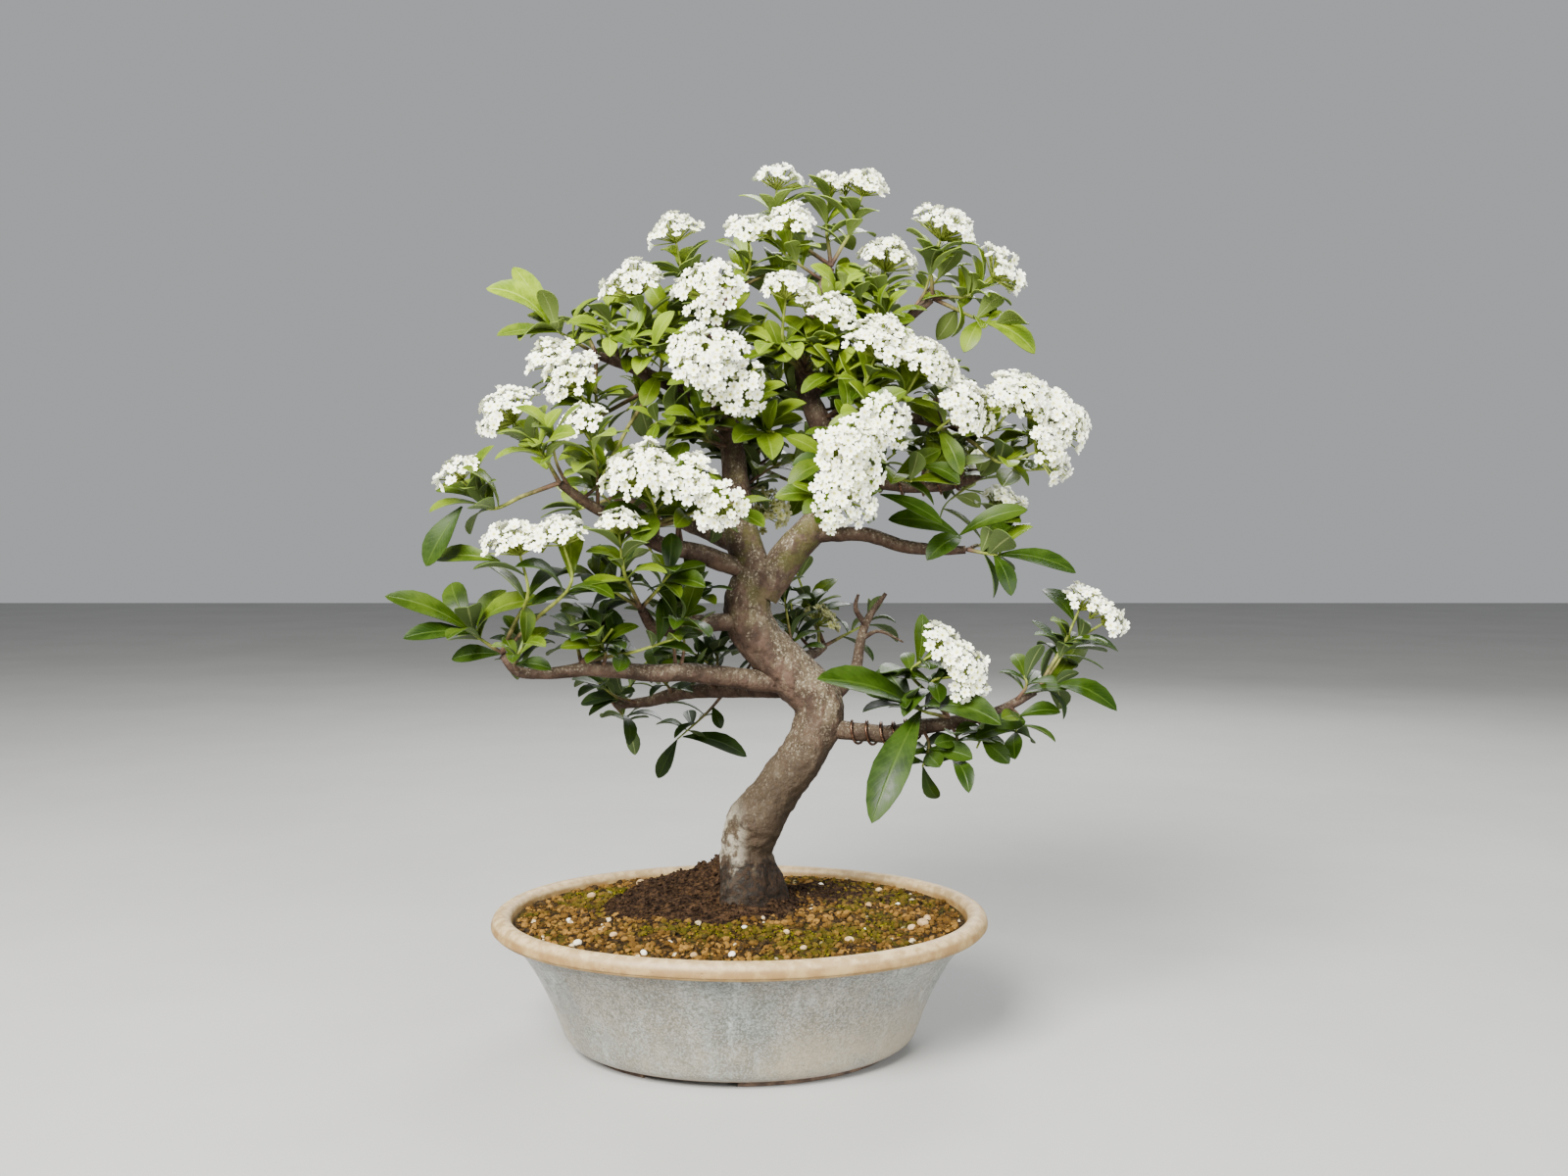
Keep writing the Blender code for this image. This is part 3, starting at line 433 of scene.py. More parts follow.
# %% Glaze and drilling
def glaze_finish():
    f = Finish("celadon_glaze", Roughness=0.3, Coat_Roughness=0.15)
    z = f.axes()["Z"]
    streaks = f.patches(1.0, 0.36, 0.66, f.stretched(80, 80, 11))
    drips = f.patches(1.0, 0.52, 0.66, f.stretched(55, 55, 9))
    broad = f.patches(14.0, 0.36, 0.66)
    grain = f.patches(420.0, 0.4, 0.62)
    body = f.mix(streaks, (0.066, 0.078, 0.073), (0.182, 0.212, 0.201))
    body = f.tint(body, f.patches(75.0, 0.42, 0.6), 0.4, (0.115, 0.122, 0.112))
    body = f.tint(body, drips, 0.7, (0.37, 0.42, 0.405))
    body = f.tint(body, broad, 0.75, (0.19, 0.15, 0.10))
    body = f.tint(body, grain, 0.8, (0.070, 0.070, 0.054))
    body = f.tint(body, f.patches(800.0, 0.46, 0.6), 0.35, (0.42, 0.44, 0.42))
    low = f.times(f.between(z, 0.052, 0.008), f.between(broad, 0.0, 1.0, 0.25, 0.8))
    body = f.mix(low, body, (0.255, 0.21, 0.14))
    foot_line = f.between(z, 0.0085, 0.0045)
    body = f.tint(body, foot_line, 0.75, (0.21, 0.15, 0.10))
    pores = f.specks(210.0, 0.17, 0.3)
    body = f.tint(body, pores, 0.75, (0.10, 0.085, 0.06))
    fine = f.patches(170.0, 0.4, 0.64)
    cream = f.mix(fine, (0.27, 0.185, 0.082), (0.41, 0.305, 0.16))
    amber = f.mix(f.patches(60.0, 0.4, 0.64), (0.185, 0.105, 0.030), (0.285, 0.190, 0.072))
    band = f.mix(f.between(z, 0.0825, 0.0855), amber, cream)
    on_rim = f.between(z, 0.0758, 0.0782)
    rim = f.mix(on_rim, body, band)
    f.set("Base Color", rim)
    gloss = f.between(f.math("ADD", fine, f.times(pores, 0.5)), 0.0, 1.4, 0.3, 0.5)
    f.set("Roughness", f.math("MULTIPLY_ADD", on_rim, 0.24, gloss))
    f.set("Coat Weight", f.between(on_rim, 0.0, 1.0, 0.22, 0.0))
    f.relief((streaks, 0.25, 0.35), (fine, 0.12, 0.3), (f.times(pores, -1.0), 0.5, 0.7))
    return f.material


def cut_holes(piece, places, radius, low, high):
    """Cuts upright round holes with a Boolean and applies it."""
    for x in places:
        path = np.array([(x, 0, low), (x, 0, high)], float)
        points, faces = tube(path, [radius, radius], 48)
        cutter = make_piece("drill", points, faces, piece.data.materials[0])
        change = piece.modifiers.new("drill", "BOOLEAN")
        change.operation = "DIFFERENCE"
        change.solver = "MANIFOLD"
        change.object = cutter
        bpy.context.view_layer.update()
        drilled = piece.evaluated_get(bpy.context.evaluated_depsgraph_get())
        mesh = bpy.data.meshes.new_from_object(drilled)
        piece.modifiers.clear()
        piece.data = mesh
        bpy.data.objects.remove(cutter)
    piece.data.shade_smooth()
    piece.data.set_sharp_from_angle(angle=math.radians(40))


# %% Make the pot and its foot
FOOT_SECTION = np.array([(84, 4.4), (84, 0.7), (84.8, 0), (100.2, 0), (101, 0.7), (101, 4.4)])
FOOT_MIDDLES = (-47.0, 73.0, 193.0)
FOOT_HALF_ARC = 42.5


def foot_arcs():
    """Three arcs of a flat ring with rounded edges, left between the notches."""
    arcs = []
    r, z = FOOT_SECTION.T
    for middle in FOOT_MIDDLES:
        angle = np.radians(middle + np.linspace(-FOOT_HALF_ARC, FOOT_HALF_ARC, 60))[:, None]
        rings = np.stack([POT_X + r * np.cos(angle), OVAL * r * np.sin(angle), z + 0 * angle], -1)
        arcs.append(ring_solid(rings, rings[[0, -1]].mean(axis=1), turned=True))
    return joined(arcs)


pot_points, pot_faces = closed_turn(rounded_profile(POT_PROFILE, 140), 200, wobble=0.28)
glaze = glaze_finish()
pot = make_piece("glazed_pot", pot_points, pot_faces, glaze, ["pot"], sharp=math.radians(60))
cut_holes(pot, (POT_X - DRAIN_X, POT_X + DRAIN_X), DRAIN_RADIUS, -2, 20)
bare_clay = mottled("bare_foot_clay", (120.0, 0.38, 0.64), (0.055, 0.035, 0.025), (0.15, 0.095, 0.06),
                    (0.3, 0.5), Roughness=0.85)
foot = make_piece("pot_foot", *foot_arcs(), bare_clay, sharp=math.radians(35))
print("pot faces:", len(pot.data.polygons), "foot faces:", len(foot.data.polygons))

# %% [markdown]
# The soil is fired clay grit in ochre and tan, two to five millimetres a grain, with a skin of
# yellow-green moss in patches. A displaced plane alone would look like sand, so the bed is a
# gently humped surface and thousands of small angular grains lie on it. Each grain is the same
# twelve-cornered lump, stretched and turned its own way, which keeps a grain to twenty faces.

# %% Soil bed
SOIL_EDGE = 137.0
SOIL_EDGE_Z = 81.8
SOIL_WALL = [(136.5, 68), (115.5, 40), (101, 17)]
BED_REACH = 1.055
GRAIN_REACH = 1.04


def on_ground(x, y, z=0.0):
    """Points from arrays of x and y and one height for all, or a height each."""
    return np.stack([x, y, z + 0 * x], -1)


def moss_cover(x, y):
    """Where moss grows on the soil: noise on two scales, mossy where it is high."""
    return cloud(on_ground(x, y), 26, 17) + 0.4 * cloud(on_ground(x, y), 7, 18)


def soil_height(x, y):
    """Height of the soil: a low dome over the pot's oval with soft humps and grit-sized bumps."""
    reach = np.hypot(x - POT_X, y / OVAL) / SOIL_EDGE
    place = on_ground(x, y)
    humps = 1.6 * cloud(place, 34, 3) + 0.8 * cloud(place, 13, 4) + 0.5 * cloud(place, 5, 5)
    return SOIL_EDGE_Z + 4.6 * (1 - np.clip(reach, 0, 1) ** 2) + humps * np.clip(1.5 - reach, 0, 1)


def soil_bed():
    """Rings from the rim to the middle on the dome, then down the pot's inner wall."""
    around = 160
    angle = np.linspace(0, math.tau, around, endpoint=False)
    shares = np.linspace(0.02, 1, 60)[::-1]
    x = POT_X + SOIL_EDGE * BED_REACH * shares[:, None] * np.cos(angle)
    y = OVAL * SOIL_EDGE * BED_REACH * shares[:, None] * np.sin(angle)
    top = on_ground(x, y, soil_height(x, y))[::-1]
    wall = [on_ground(POT_X + r * np.cos(angle), OVAL * r * np.sin(angle), z) for r, z in SOIL_WALL]
    ends = np.array([[POT_X, 0, soil_height(np.array(POT_X), np.array(0.0))], [POT_X, 0, SOIL_WALL[-1][1]]])
    return ring_solid(np.concatenate([top, wall]), ends, turned=True)


print("soil at the pot's middle in mm:", round(float(soil_height(np.array(POT_X), np.array(0.0))), 1))

# %% [markdown]
# The peat is a dark fibrous heap banked round the trunk's foot, higher on its left. It is a
# height over an oval patch that sinks into the grit at its edge, with lumps on three scales and
# loose crumbs on top, made as the grains are.

# %% Peat heap
MOUND_MIDDLE = np.array((-42.0, 11.0))
MOUND_RADII = np.array((74.0, 52.0))
MOUND_PEAK = np.array((-30.0, 20.0))
MOUND_BASE = 74.0


def peat_height(x, y):
    """The heap: a bank whose long slope runs to the left of its peak, with a skirt against the
    trunk, sunk below the grit at its edge, roughened by noise."""
    reach = np.hypot((x - MOUND_MIDDLE[0]) / MOUND_RADII[0], (y - MOUND_MIDDLE[1]) / MOUND_RADII[1])
    along = x - MOUND_PEAK[0]
    peak = np.hypot(along / np.where(along < 0, 62, 30), (y - MOUND_PEAK[1]) / 33)
    skirt = np.hypot(x + 13, y + 1) / 27
    place = on_ground(x, y)
    lumps = 2.8 * cloud(place, 14, 8) + 2.2 * cloud(place, 6, 9) + 1.2 * cloud(place, 2.6, 10)
    rise = 5.0 * np.clip(1 - reach**3, 0, 1) + 20.0 * np.exp(-1.3 * peak**2) + 7.0 * np.exp(-(skirt**4))
    rise = rise + 5.0 * np.exp(-(((x + 24) / 14) ** 2) - ((y - 22) / 16) ** 2)
    return 85.5 - 9.0 * reach**8 + rise + lumps * np.clip(1.4 - reach, 0, 1)


def peat_heap():
    """Rings over the oval patch, closed by a flat underside inside the soil."""
    around = 150
    angle = np.linspace(0, math.tau, around, endpoint=False)
    shares = np.linspace(0.015, 1, 64)
    x = MOUND_MIDDLE[0] + MOUND_RADII[0] * shares[:, None] * np.cos(angle)
    y = MOUND_MIDDLE[1] + MOUND_RADII[1] * shares[:, None] * np.sin(angle)
    top = on_ground(x, y, peat_height(x, y))
    under = top[-1:] * (1, 1, 0) + (0, 0, MOUND_BASE)
    ends = np.array([[*MOUND_MIDDLE, peat_height(*MOUND_MIDDLE[:, None])[0]], [*MOUND_MIDDLE, MOUND_BASE]])
    return ring_solid(np.concatenate([top, under]), ends, turned=True)


print("top of the peat in mm:", round(peat_height(*MOUND_PEAK[:, None])[0], 1))

# %% Grains and crumbs
GRAINS = 5600
GOLD = (1 + math.sqrt(5)) / 2
LUMP = unit(np.array([(0, a, b * GOLD) for a in (-1, 1) for b in (-1, 1)]
                     + [(a, b * GOLD, 0) for a in (-1, 1) for b in (-1, 1)]
                     + [(b * GOLD, 0, a) for a in (-1, 1) for b in (-1, 1)], float))


def lump_faces():
    """The twenty triangles between corners that are one edge apart, turned outwards."""
    gap = np.linalg.norm(LUMP[:, None] - LUMP[None], axis=-1)
    edge = np.min(gap[gap > 0.1]) * 1.01
    faces = np.array([(i, j, k) for i, j, k in itertools.combinations(range(len(LUMP)), 3)
                      if max(gap[i, j], gap[j, k], gap[i, k]) < edge])
    a, b, c = LUMP[faces[:, 0]], LUMP[faces[:, 1]], LUMP[faces[:, 2]]
    inward = np.einsum("ij,ij->i", np.cross(b - a, c - a), a) < 0
    faces[inward] = faces[inward][:, ::-1]
    return faces


LUMP_FACES = lump_faces()
print("faces of a grain:", len(LUMP_FACES))


def lumps(places, sizes, draw, jag=0.22, flat=0.8):
    """One angular lump at each place: the shared corners pushed in and out, stretched along
    three random axes and scaled to its size."""
    count = len(places)
    corners = LUMP[None] * (1 + draw.uniform(-jag, jag, (count, len(LUMP), 1)))
    corners = corners * draw.uniform(0.7, 1.15, (count, 1, 3))
    axes = np.linalg.qr(draw.normal(size=(count, 3, 3)))[0]
    axes[np.linalg.det(axes) < 0, :, 0] *= -1
    corners = np.einsum("nij,nkj->nki", axes, corners) * (1, 1, flat)
    points = places[:, None] + corners * np.asarray(sizes)[:, None, None]
    return points.reshape(-1, 3), [copies(LUMP_FACES, count, len(LUMP))]


def scatter_oval(count, draw, reach=1.0):
    """Random places on the soil's oval, even by area."""
    share = np.sqrt(draw.uniform(0, 1, count)) * reach
    angle = draw.uniform(0, math.tau, count)
    x = POT_X + SOIL_EDGE * GRAIN_REACH * share * np.cos(angle)
    y = OVAL * SOIL_EDGE * GRAIN_REACH * share * np.sin(angle)
    return x, y


def peat_cover(x, y):
    """How far a place lies inside the peat's edge: above 0 is under peat."""
    reach = np.hypot((x - MOUND_MIDDLE[0]) / MOUND_RADII[0], (y - MOUND_MIDDLE[1]) / MOUND_RADII[1])
    return 1 - reach + 0.12 * cloud(on_ground(x, y), 9, 14)


def grit():
    """Grains over the open soil, each with a tone and a share of moss."""
    draw = np.random.default_rng(11)
    x, y = scatter_oval(GRAINS, draw)
    keep = peat_cover(x, y) < 0.16
    x, y = x[keep], y[keep]
    sizes = 0.9 + 2.0 * draw.uniform(0, 1, len(x)) ** 2.6
    points, faces = lumps(on_ground(x, y, soil_height(x, y) + sizes * 0.3), sizes, draw)
    corners = len(LUMP)
    return points, faces, np.repeat(draw.uniform(0, 1, len(x)), corners), np.repeat(moss_cover(x, y), corners)


# %% Earth finishes
def grit_finish():
    f = Finish("fired_clay_grit", Roughness=0.92, Specular_IOR_Level=0.08)
    tone, moss = f.attribute("tone"), f.attribute("moss")
    base = f.mix(f.between(tone, 0.05, 0.5), (0.015, 0.007, 0.0015), (0.078, 0.037, 0.006))
    base = f.mix(f.between(tone, 0.5, 0.88), base, (0.185, 0.096, 0.020))
    base = f.mix(f.between(tone, 0.985, 0.99), base, (0.52, 0.42, 0.26))
    base = f.mix(f.math("LESS_THAN", tone, 0.16), base, (0.012, 0.008, 0.005))
    dust = f.patches(500.0, 0.4, 0.62)
    base = f.tint(base, dust, 0.5, (0.08, 0.045, 0.010))
    uneven = f.between(f.patches(180.0, 0.38, 0.55), 0, 1, 0.35, 1)
    green = f.times(f.between(moss, 0.05, 0.4), uneven)
    base = f.tint(base, green, 0.8, (0.038, 0.034, 0.001))
    f.set("Base Color", base)
    f.relief((dust, 0.3, 0.6), (f.patches(1400.0, 0.3, 0.7), 0.12, 0.5))
    return f.material


def soil_finish():
    f = Finish("soil_between_grains", Roughness=0.95, Specular_IOR_Level=0.05)
    fine = f.patches(260.0, 0.4, 0.62)
    base = f.mix(fine, (0.010, 0.006, 0.003), (0.055, 0.030, 0.008))
    moss = f.times(f.patches(34.0, 0.5, 0.62), f.patches(300.0, 0.4, 0.6))
    f.set("Base Color", f.mix(moss, base, (0.05, 0.046, 0.002)))
    f.relief((fine, 0.8, 0.8), (f.patches(900.0, 0.35, 0.65), 0.3, 0.6))
    return f.material


def peat_finish():
    f = Finish("fibrous_peat", Roughness=1.0, Specular_IOR_Level=0.05)
    fine = f.patches(330.0, 0.38, 0.64)
    fibres = f.patches(1.0, 0.5, 0.62, f.stretched(160, 900, 500))
    base = f.mix(fine, (0.006, 0.0035, 0.0025), (0.037, 0.021, 0.012))
    base = f.tint(base, fibres, 0.5, (0.080, 0.044, 0.019))
    f.set("Base Color", f.tint(base, f.patches(60.0, 0.56, 0.68), 0.4, (0.080, 0.042, 0.017)))
    f.relief((fine, 1.0, 0.9), (f.patches(1100.0, 0.35, 0.65), 0.4, 0.7))
    return f.material


def pebble_finish(name, dark, light):
    f = Finish(name, Roughness=0.7, Specular_IOR_Level=0.2)
    fine = f.patches(150.0, 0.4, 0.62)
    base = f.mix(fine, dark, light)
    f.set("Base Color", f.tint(base, f.specks(500.0, 0.3, 0.3), 0.5, (0.2, 0.16, 0.12)))
    f.relief((fine, 0.4, 0.5))
    return f.material


# %% Fill the pot
def scattered(name, xy_height, sizes, seed, material, jag=0.2, flat=0.8, sink=0.2):
    """Lumps of given sizes on a surface. Returns the piece."""
    x, y, height = xy_height
    draw = np.random.default_rng(seed)
    places = on_ground(x, y, height + np.asarray(sizes) * sink)
    points, faces = lumps(places, sizes, draw, jag, flat)
    tone = np.repeat(draw.uniform(0, 1, len(sizes)), len(LUMP))
    return make_piece(name, points, faces, material, attributes={"tone": tone})


soil = make_piece("soil_bed", *soil_bed(), soil_finish(), ["soil"])
points, faces, tone, moss = grit()
grains = make_piece("soil_grit", points, faces, grit_finish(), attributes={"tone": tone, "moss": moss},
                    sharp=math.radians(25))
heap = make_piece("peat_heap", *peat_heap(), peat_finish(), ["peat_mound"])

# Crumbs lie all over the heap, and larger ones have rolled off it to the right and the back.
HEAP_CRUMBS, STRAY_CRUMBS = 2600, 1300
STRAY_MIDDLE, STRAY_SPREAD = (24, 44), (22, 15)
draw = np.random.default_rng(21)
angle, share = draw.uniform(0, math.tau, HEAP_CRUMBS), np.sqrt(draw.uniform(0, 1, HEAP_CRUMBS))
x = MOUND_MIDDLE[0] + MOUND_RADII[0] * share * 1.02 * np.cos(angle)
y = MOUND_MIDDLE[1] + MOUND_RADII[1] * share * 1.02 * np.sin(angle)
fringe_x, fringe_y = (middle + spread * draw.normal(0, 1, STRAY_CRUMBS)
                      for middle, spread in zip(STRAY_MIDDLE, STRAY_SPREAD))
inside = np.hypot(fringe_x - POT_X, fringe_y / OVAL) < SOIL_EDGE - 3
x, y = np.append(x, fringe_x[inside]), np.append(y, fringe_y[inside])
crumb_sizes = 0.5 + 1.5 * draw.uniform(0, 1, len(x)) ** 3
crumb_sizes[HEAP_CRUMBS:] += 1.3
ground = np.maximum(peat_height(x, y), soil_height(x, y))
scattered("peat_crumbs", (x, y, ground), crumb_sizes, 22, peat_finish(), jag=0.3)

TUFTS, MOSSY = 5200, 0.42
x, y = scatter_oval(TUFTS, draw, 0.99)
keep = (moss_cover(x, y) > MOSSY) & (peat_cover(x, y) < 0.1)
x, y = x[keep], y[keep]
cushion = mottled("cushion_moss", (600.0, 0.38, 0.62), (0.014, 0.013, 0.001), (0.15, 0.13, 0.004),
                  (0.7, 0.9), Roughness=0.95, Specular_IOR_Level=0.05)
scattered("moss_tufts", (x, y, soil_height(x, y)), 0.6 + 0.9 * draw.uniform(0, 1, len(x)), 23,
          cushion, jag=0.35, flat=0.6, sink=0.5)

WHITE_PEBBLES = [(-116, -66, 4.2), (-74, -88, 3.4), (-22, -92, 3.0), (-60, -72, 2.6), (-16, -44, 3.2),
                 (60, -40, 2.4), (-128, -20, 2.8), (34, 66, 3.0), (84, 20, 2.4)]
TAN_STONES = [(96, -28, 5.2), (100, -16, 4.4), (88, -38, 4.0), (-122, 40, 5.0), (-92, 74, 4.4), (74, 58, 4.6),
              (20, -78, 3.4), (48, -64, 3.6), (-44, -94, 3.2), (-96, -52, 3.4), (10, -52, 3.0), (64, 8, 3.4)]


def stones(name, table, seed, material):
    """Lumps at the (x, y, size) of a table, worn round by subdivision."""
    x, y, sizes = np.array(table, float).T
    piece = scattered(name, (x, y, soil_height(x, y)), sizes, seed, material, jag=0.12, flat=0.75, sink=0.35)
    round_off = piece.modifiers.new("worn", "SUBSURF")
    round_off.levels = round_off.render_levels = 2


white = pebble_finish("white_pebble", (0.55, 0.49, 0.37), (0.78, 0.73, 0.62))
stones("white_pebbles", WHITE_PEBBLES, 31, white)
tan = pebble_finish("tan_stone", (0.25, 0.155, 0.065), (0.45, 0.32, 0.17))
stones("tan_stones", TAN_STONES, 32, tan)
print("grains:", len(grains.data.vertices) // len(LUMP), "crumbs:", len(crumb_sizes), "moss tufts:", len(x))

# %% [markdown]
# The wood grew as one piece: trunk, two leaders and branches. Each limb is a tube carried along
# a smooth path through the same points as the CAD solid, and it starts inside its parent, so
# the joints close. Bark is relief on the tube itself: long lumps, fine pits, a flare where the
# roots spread and a healed knot low on the front. A skin modifier gives softer forks but no
# control over any of that.

# %% Limbs of the tree
LIMBS = {
    "trunk": (
        [(-14, 0, 40), (-14, 0, 75), (-14, 0, 101), (-16, 0, 125), (-9, -2, 144), (5, -4, 167),
         (21, -4, 188), (31, -2, 208), (29, 0, 224), (14, 2, 239), (-1, 2, 254), (-12, 0, 270),
         (-15, 0, 288), (-8, 0, 306)],
        [19, 22, 21, 16, 18, 15, 14.5, 15, 16, 16.5, 16, 15.5, 15.5, 13.5],
    ),
    "left_leader": (
        [(-8, 0, 296), (-18, 2, 327), (-22, 5, 355), (-25, 8, 387), (-31, 8, 422), (-33, 5, 456),
         (-26, 5, 484)],
        [13, 12, 9.5, 7.5, 6, 4.5, 3],
    ),
    "right_leader": (
        [(-6, 0, 292), (14, -2, 320), (32, -4, 340), (40, 0, 364), (35, 5, 393), (25, 5, 418),
         (20, 0, 446), (28, 0, 474), (38, 2, 500)],
        [12, 11, 10, 9, 8, 6.5, 5.5, 4.2, 3],
    ),
    "low_left": (
        [(10, 0, 234), (-23, -10, 238), (-53, -20, 243), (-83, -30, 244), (-113, -35, 246),
         (-137, -40, 243), (-154, -46, 245), (-163, -50, 256)],
        [7.5, 6.5, 6, 5.5, 4.6, 3.6, 3.2, 2.6],
    ),
    "low_left_back": (
        [(10, 5, 230), (-24, 25, 228), (-55, 45, 222), (-83, 60, 215), (-108, 75, 210)],
        [7, 6, 5, 4, 2.6],
    ),
    "mid_left": (
        [(-14, 0, 275), (-41, -15, 273), (-59, -25, 271), (-72, -30, 270), (-79, -40, 283)],
        [6, 5.6, 5, 4.2, 3],
    ),
    "upper_left": (
        [(-14, 0, 306), (-44, -20, 317), (-71, -40, 325), (-93, -60, 339), (-108, -70, 348),
         (-122, -80, 359)],
        [6.5, 6, 5, 4, 3.3, 2.6],
    ),
    "left_back": (
        [(-16, 5, 320), (-47, 30, 333), (-78, 55, 347), (-108, 72, 355)],
        [6, 5, 4, 2.6],
    ),
    "left_crown": (
        [(-29, 8, 409), (-54, 0, 421), (-82, -5, 433), (-109, -10, 443)],
        [5.5, 5, 4, 2.6],
    ),
    "low_right": (
        [(32, 0, 206), (52, -10, 204), (74, -20, 204), (95, -28, 209), (119, -30, 213),
         (143, -30, 220), (166, -26, 231)],
        [6.5, 6, 5.5, 5, 4, 3.2, 2.6],
    ),
    "mid_right": (
        [(22, -2, 328), (40, -10, 330), (61, -15, 329), (83, -20, 322), (104, -25, 320),
         (122, -25, 320)],
        [5.5, 5, 4.6, 4.2, 3.4, 2.6],
    ),
    "upper_right": (
        [(38, 0, 368), (59, 10, 365), (89, 15, 361), (118, 20, 362), (142, 20, 371)],
        [5.5, 4.6, 4, 3.4, 2.6],
    ),
    "right_crown": (
        [(33, 5, 396), (59, 4, 404), (86, -4, 404), (112, -12, 398)],
        [5.5, 4.6, 3.8, 2.8],
    ),
    "right_top": (
        [(25, 5, 421), (53, 10, 441), (82, 15, 464), (104, 15, 482)],
        [5.5, 4.6, 3.6, 2.6],
    ),
    "back_up": ([(32, 5, 402), (31, 40, 412), (25, 68, 430)], [6, 4.6, 2.8]),
    "back_mid": ([(-22, 5, 355), (-18, 40, 366), (-12, 74, 377)], [6, 4.6, 2.8]),
    "back_low": ([(12, 6, 240), (22, 40, 244), (36, 68, 252)], [5.5, 4.4, 2.8]),
    "dead_twig": ([(38, 4, 222), (55, 22, 238), (59, 32, 258), (66, 38, 274), (77, 40, 290)],
                  [4.4, 3.9, 3.3, 2.6, 1.4]),
    "dead_spur": ([(64, 36, 268), (57, 31, 279), (58, 29, 290)], [2.2, 1.7, 0.9]),
    "dead_spur_right": ([(60, 33, 260), (72, 34, 264), (88, 30, 258)], [1.9, 1.2, 0.6]),
}
WIRES = {
    "training_wire_low": ("low_right", 0.17, 0.50, 5),
    "training_wire_high": ("upper_right", 0.32, 0.86, 5),
}
WIRE_RADIUS = 0.9
AROUND = {"trunk": (84, 300), "left_leader": (48, 150), "right_leader": (48, 160)}
KNOT = np.array((-13.0, -15.0, 147.0))
print("limbs:", len(LIMBS), "wires:", len(WIRES))


# %% Bark relief and limb paths
def knot_relief(points):
    """A healed knot: a low ring-shaped swelling with a dimple in its middle."""
    away = np.linalg.norm(points - KNOT, axis=-1)
    return 3.2 * np.exp(-((away / 8.0) ** 2)) - 2.6 * np.exp(-((away / 3.0) ** 2))


def root_flare(points):
    """Below the first hand's breadth the trunk widens in five uneven lobes."""
    low = np.clip((124 - points[..., 2]) / 30, 0, 1) ** 2
    turn = np.arctan2(points[..., 1], points[..., 0] + 14)
    return low * (1.2 + 1.5 * np.sin(5 * turn + 0.7) + 1.2 * np.sin(3 * turn + 2.0))


def bark_relief(name):
    """Long soft lumps, pits and fine grain, each a noise; the trunk also gets its knot and flare."""
    def relief(points, reach):
        long = points * (1, 1, 0.5)
        height = 0.075 * reach * cloud(long, 13, 40) + 0.05 * reach * cloud(points, 5.5, 41)
        height = height + 0.022 * reach * cloud(points, 2.4, 42)
        if name == "trunk":
            height = height + knot_relief(points) + root_flare(points)
        return height
    return relief


def limb_points(name):
    """The smooth centre line of a limb, and its radius along it."""
    points, radii = LIMBS[name]
    around, count = AROUND.get(name, (20, 90))
    path = smooth_path(points, count)
    reach = np.interp(np.linspace(0, 1, count), np.linspace(0, 1, len(radii)), radii)
    if name not in AROUND:
        wander = np.stack([cloud(path, 24, seed) for seed in (51, 52, 53)], -1)
        path = path + 1.6 * wander * np.sin(np.linspace(0, math.pi, count))[:, None]
    return path, reach, around


def underside(path, points, around):
    """How far each bark point faces the ground, from -1 to 1; the two poles come last."""
    spokes = unit(points[:-2].reshape(len(path), around, 3) - path[:, None])
    return np.append(-spokes[..., 2].reshape(-1), (1.0, -1.0))
